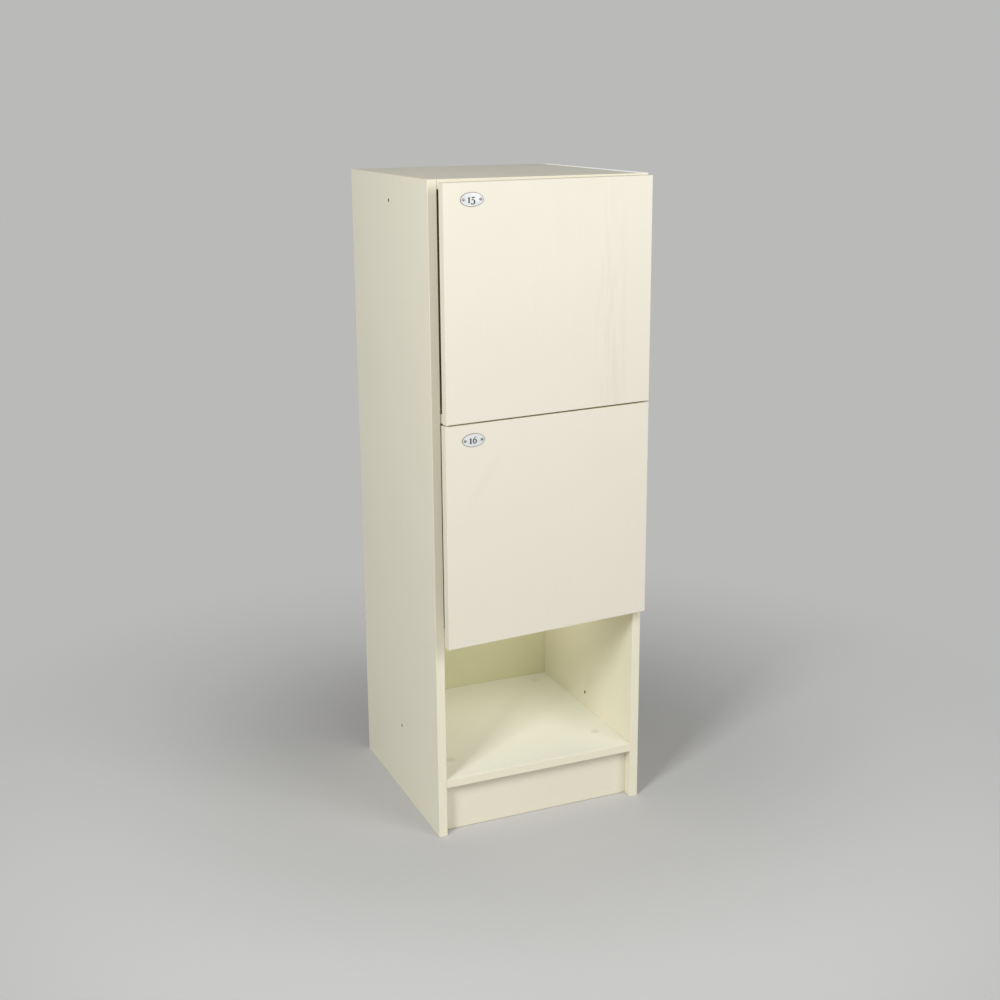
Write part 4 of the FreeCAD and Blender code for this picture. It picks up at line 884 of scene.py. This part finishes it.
class LOCKER_OT_fittings(bpy.types.Operator):
    """Finishes of the hinges, latches, cam fittings, dowels and blocks"""
    bl_idname = "locker.fittings"
    bl_label = "Finish the fittings"

    def execute(self, context):
        colours = settings("colours")
        nickel = metal_material("nickel_plate", colours.nickel, (900.0, 40.0, 900.0))
        zinc = metal_material("zinc_casting", colours.zinc, (300.0, 300.0, 300.0), 0.12)
        latch = plastic_material("latch_shell", colours.latch)
        beech = beech_material()
        finishes = {"cam_locks": zinc, "cam_bolts": zinc, "panel_dowels": beech,
                    "plinth_corner_blocks": beech}
        for which in DOORS:
            for part in ("arm", "plate", "cup", "pin"):
                for end in ("top", "bottom"):
                    finishes["%s_door_%s_hinge_%s" % (which, end, part)] = nickel
            finishes[which + "_latch_housing"] = latch
            finishes[which + "_latch_plunger"] = latch
            finishes[which + "_strike_plate"] = zinc
        for node, material in finishes.items():
            finish_node(node, material)
        return {"FINISHED"}


class LOCKER_OT_screws(bpy.types.Operator):
    """Screws with cross recesses, and slotted ones in the number plates"""
    bl_idname = "locker.screws"
    bl_label = "Make the screws"

    def execute(self, context):
        colours, sizes = settings("colours"), settings("fixings")
        steel = metal_material("screw_steel", colours.zinc, (700.0, 700.0, 700.0))
        aged = metal_material("aged_steel", colours.aged, (700.0, 700.0, 700.0), 0.1)
        sets = [(node, "carcass", None, crown, 4) for node, crown in (
            ("back_panel_screws", 1.8), ("corner_block_screws", 1.8), ("latch_screws", 1.8),
            ("hinge_plate_screws", 1.5), ("arm_fixing_screws", 2.0), ("arm_adjusting_screws", 2.0))]
        for which in DOORS:
            sets.append((which + "_door_cup_screws", which + "_door", which, 1.8, 4))
            sets.append((which + "_number_plate_screws", which + "_door", which, 0.9, 2))
        for node, body, which, crown, arms in sets:
            turn = swing(which) if which else Matrix()
            wide, deep, metal = sizes.slot_width, sizes.slot_depth, aged
            if arms == 4:
                wide, deep, metal = sizes.cross_width, sizes.cross_depth, steel
            grids = []
            for number, points in enumerate(solids(node, turn)):
                end, direction, radius, whole = seat(points)
                grid = screw_grid(2 * radius, crown * MM, whole, arms, 2 * radius * wide,
                                  2 * radius * sizes.cross_reach, crown * MM * deep)
                base = end - direction * crown * MM
                grids.append(moved(turn @ standing(base, direction, number * GOLDEN_ANGLE), grid))
            piece = make_object(node.replace("screws", "screw_heads"), grids, metal)
            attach(piece, body)
            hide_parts(node)
        return {"FINISHED"}


class LOCKER_OT_caps(bpy.types.Operator):
    """Domed cover caps over the cam locks"""
    bl_idname = "locker.caps"
    bl_label = "Make the cover caps"

    def execute(self, context):
        colours, sizes = settings("colours"), settings("fixings")
        grids = []
        for points in solids("cam_cover_caps"):
            end, direction, radius, whole = seat(points, flat=True)
            grid = cap_grid(radius, CAP_LIP, whole, sizes.cap_groove)
            grids.append(moved(standing(end, direction), grid))
        piece = make_object("domed_cover_caps", grids, plastic_material("cap_plastic", colours.cap))
        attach(piece, "carcass")
        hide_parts("cam_cover_caps")
        return {"FINISHED"}


def plate_seat(which):
    """The number plate's place on its door, the oval's half axes and the plate's thickness.

    The place is a matrix with x along the plate, y up and z out of the door.
    """
    turn = swing(which)
    points = solids(which + "_number_plate", turn)[0]
    low, high = points.min(axis=0), points.max(axis=0)
    middle = (low + high) / 2
    upright = Matrix(((1, 0, 0, middle[0]), (0, 0, -1, high[1]), (0, 1, 0, middle[2]), (0, 0, 0, 1)))
    return turn @ upright, ((high[0] - low[0]) / 2, (high[2] - low[2]) / 2), high[1] - low[1]


class LOCKER_OT_plates(bpy.types.Operator):
    """Oval enamel number plates with a dome and a rolled rim"""
    bl_idname = "locker.plates"
    bl_label = "Make the number plates"

    def execute(self, context):
        sizes = settings("plates")
        enamel = enamel_material()
        for which in DOORS:
            place, oval, thick = plate_seat(which)
            grid = plate_grid(*oval, thick, sizes)
            rim = np.zeros(grid.shape[:2])
            rim[RIM_ROWS] = 1.0
            values = np.concatenate((rim.ravel(), (0.0, 0.0)))
            piece = make_object(which + "_enamel_plate", [moved(place, grid)], enamel, PLATE_CREASE,
                                attribute=("rim", values))
            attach(piece, which + "_door")
            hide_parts(which + "_number_plate")
        return {"FINISHED"}


class LOCKER_OT_numerals(bpy.types.Operator):
    """Numerals of dark enamel on the plates"""
    bl_idname = "locker.numerals"
    bl_label = "Make the numerals"

    def execute(self, context):
        sizes = settings("plates")
        ink = ink_material()
        for which in DOORS:
            number = getattr(sizes, which + "_number")
            missing = set(number) - set(NUMERALS)
            if missing:
                raise ValueError("no strokes for the numerals %s" % sorted(missing))
            place, oval, thick = plate_seat(which)
            widths = [NUMERALS[digit][0] for digit in number]
            grids, start = [], -sum(widths) / 2
            for digit, wide in zip(number, widths):
                for points in NUMERALS[digit][1]:
                    grid = stroke_grid(points, start + wide / 2, oval, thick, sizes)
                    grids.append(moved(place, grid))
                start += wide
            piece = make_object(which + "_numerals", grids, ink, PLATE_CREASE)
            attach(piece, which + "_door")
        return {"FINISHED"}


class LOCKER_OT_stage(bpy.types.Operator):
    """Pale floor that runs out into the backdrop, soft lamps, even light and the camera"""
    bl_idname = "locker.stage"
    bl_label = "Set the stage"

    def execute(self, context):
        scene, stage, colours = context.scene, settings("stage"), settings("colours")
        floor = make_object("studio_floor", [turned_grid(((0.5, 0.0), (1.5, 0.0), (2.6, 0.0)), 96)],
                            floor_material(), close_end=False)
        for name, place, aim, wide, high, power in (
                ("key_softbox", (-1.95, -1.55, 1.85), (0.0, -0.1, 0.62), 0.6, 0.8, stage.key_power),
                ("side_softbox", (2.0, -2.5, 1.25), (0.0, -0.1, 0.6), 1.0, 1.2, stage.side_power),
                ("fill_softbox", (0.8, -1.9, 1.65), (0.05, -0.1, 0.75), 0.9, 0.7, stage.fill_power),
                ("cubby_lamp", (0.03, 0.1, 0.372), (0.03, 0.1001, 0.1), 0.22, 0.18, stage.cubby_power)):
            light = bpy.data.lights.new(name, "AREA")
            light.shape, light.size, light.size_y, light.energy = "RECTANGLE", wide, high, power
            lamp = bpy.data.objects.new(name, light)
            scene.collection.objects.link(lamp)
            lamp.location, lamp.visible_camera = place, False
            lamp.rotation_euler = (Vector(aim) - Vector(place)).to_track_quat("-Z", "Y").to_euler()
        scene.world = studio_world(stage.world_level, colours.backdrop)
        level = math.cos(stage.pitch)
        ahead = Vector((math.sin(stage.yaw) * level, math.cos(stage.yaw) * level, -math.sin(stage.pitch)))
        right = Vector((math.cos(stage.yaw), -math.sin(stage.yaw), 0.0))
        upright = Matrix((right, right.cross(ahead), -ahead)).transposed()
        camera = bpy.data.objects.new("studio_camera", bpy.data.cameras.new("studio_camera"))
        scene.collection.objects.link(camera)
        camera.data.sensor_width, camera.data.lens, camera.data.shift_y = 36.0, stage.focal, stage.shift
        camera.matrix_world = (Matrix.Translation(stage.eye)
                               @ (upright @ Matrix.Rotation(-stage.roll, 3, "Z")).to_4x4())
        scene.camera = camera
        scene.view_settings.view_transform = "Standard"
        return {"FINISHED"}


class LOCKER_PT_panel(bpy.types.Panel):
    """Lists the steps that dress the locker unit"""
    bl_idname = "LOCKER_PT_panel"
    bl_label = "Locker unit"
    bl_space_type = "VIEW_3D"
    bl_region_type = "UI"
    bl_category = "Locker"

    def draw(self, context):
        for operator in OPERATORS:
            self.layout.operator(operator.bl_idname)
        for name in SETTINGS:
            box = self.layout.box()
            box.label(text=name.capitalize())
            for field in SETTINGS[name].__annotations__:
                box.prop(settings(name), field)


OPERATORS = (LOCKER_OT_boards, LOCKER_OT_doors, LOCKER_OT_fittings, LOCKER_OT_screws, LOCKER_OT_caps,
             LOCKER_OT_plates, LOCKER_OT_numerals, LOCKER_OT_stage)
SETTINGS = {"plates": LockerPlateSizes, "fixings": LockerFixingSizes, "colours": LockerColours,
            "stage": LockerStage}


def register():
    for item in (*SETTINGS.values(), *OPERATORS, LOCKER_PT_panel):
        bpy.utils.register_class(item)
    for name, group in SETTINGS.items():
        setattr(bpy.types.Scene, "locker_" + name, PointerProperty(type=group))


def unregister():
    for name in SETTINGS:
        delattr(bpy.types.Scene, "locker_" + name)
    for item in reversed((*SETTINGS.values(), *OPERATORS, LOCKER_PT_panel)):
        bpy.utils.unregister_class(item)


def main():
    register()
    bpy.ops.locker.boards()
    bpy.ops.locker.doors()
    bpy.ops.locker.fittings()
    bpy.ops.locker.screws()
    bpy.ops.locker.caps()
    bpy.ops.locker.plates()
    bpy.ops.locker.numerals()
    bpy.ops.locker.stage()


if __name__ == "__main__":
    main()
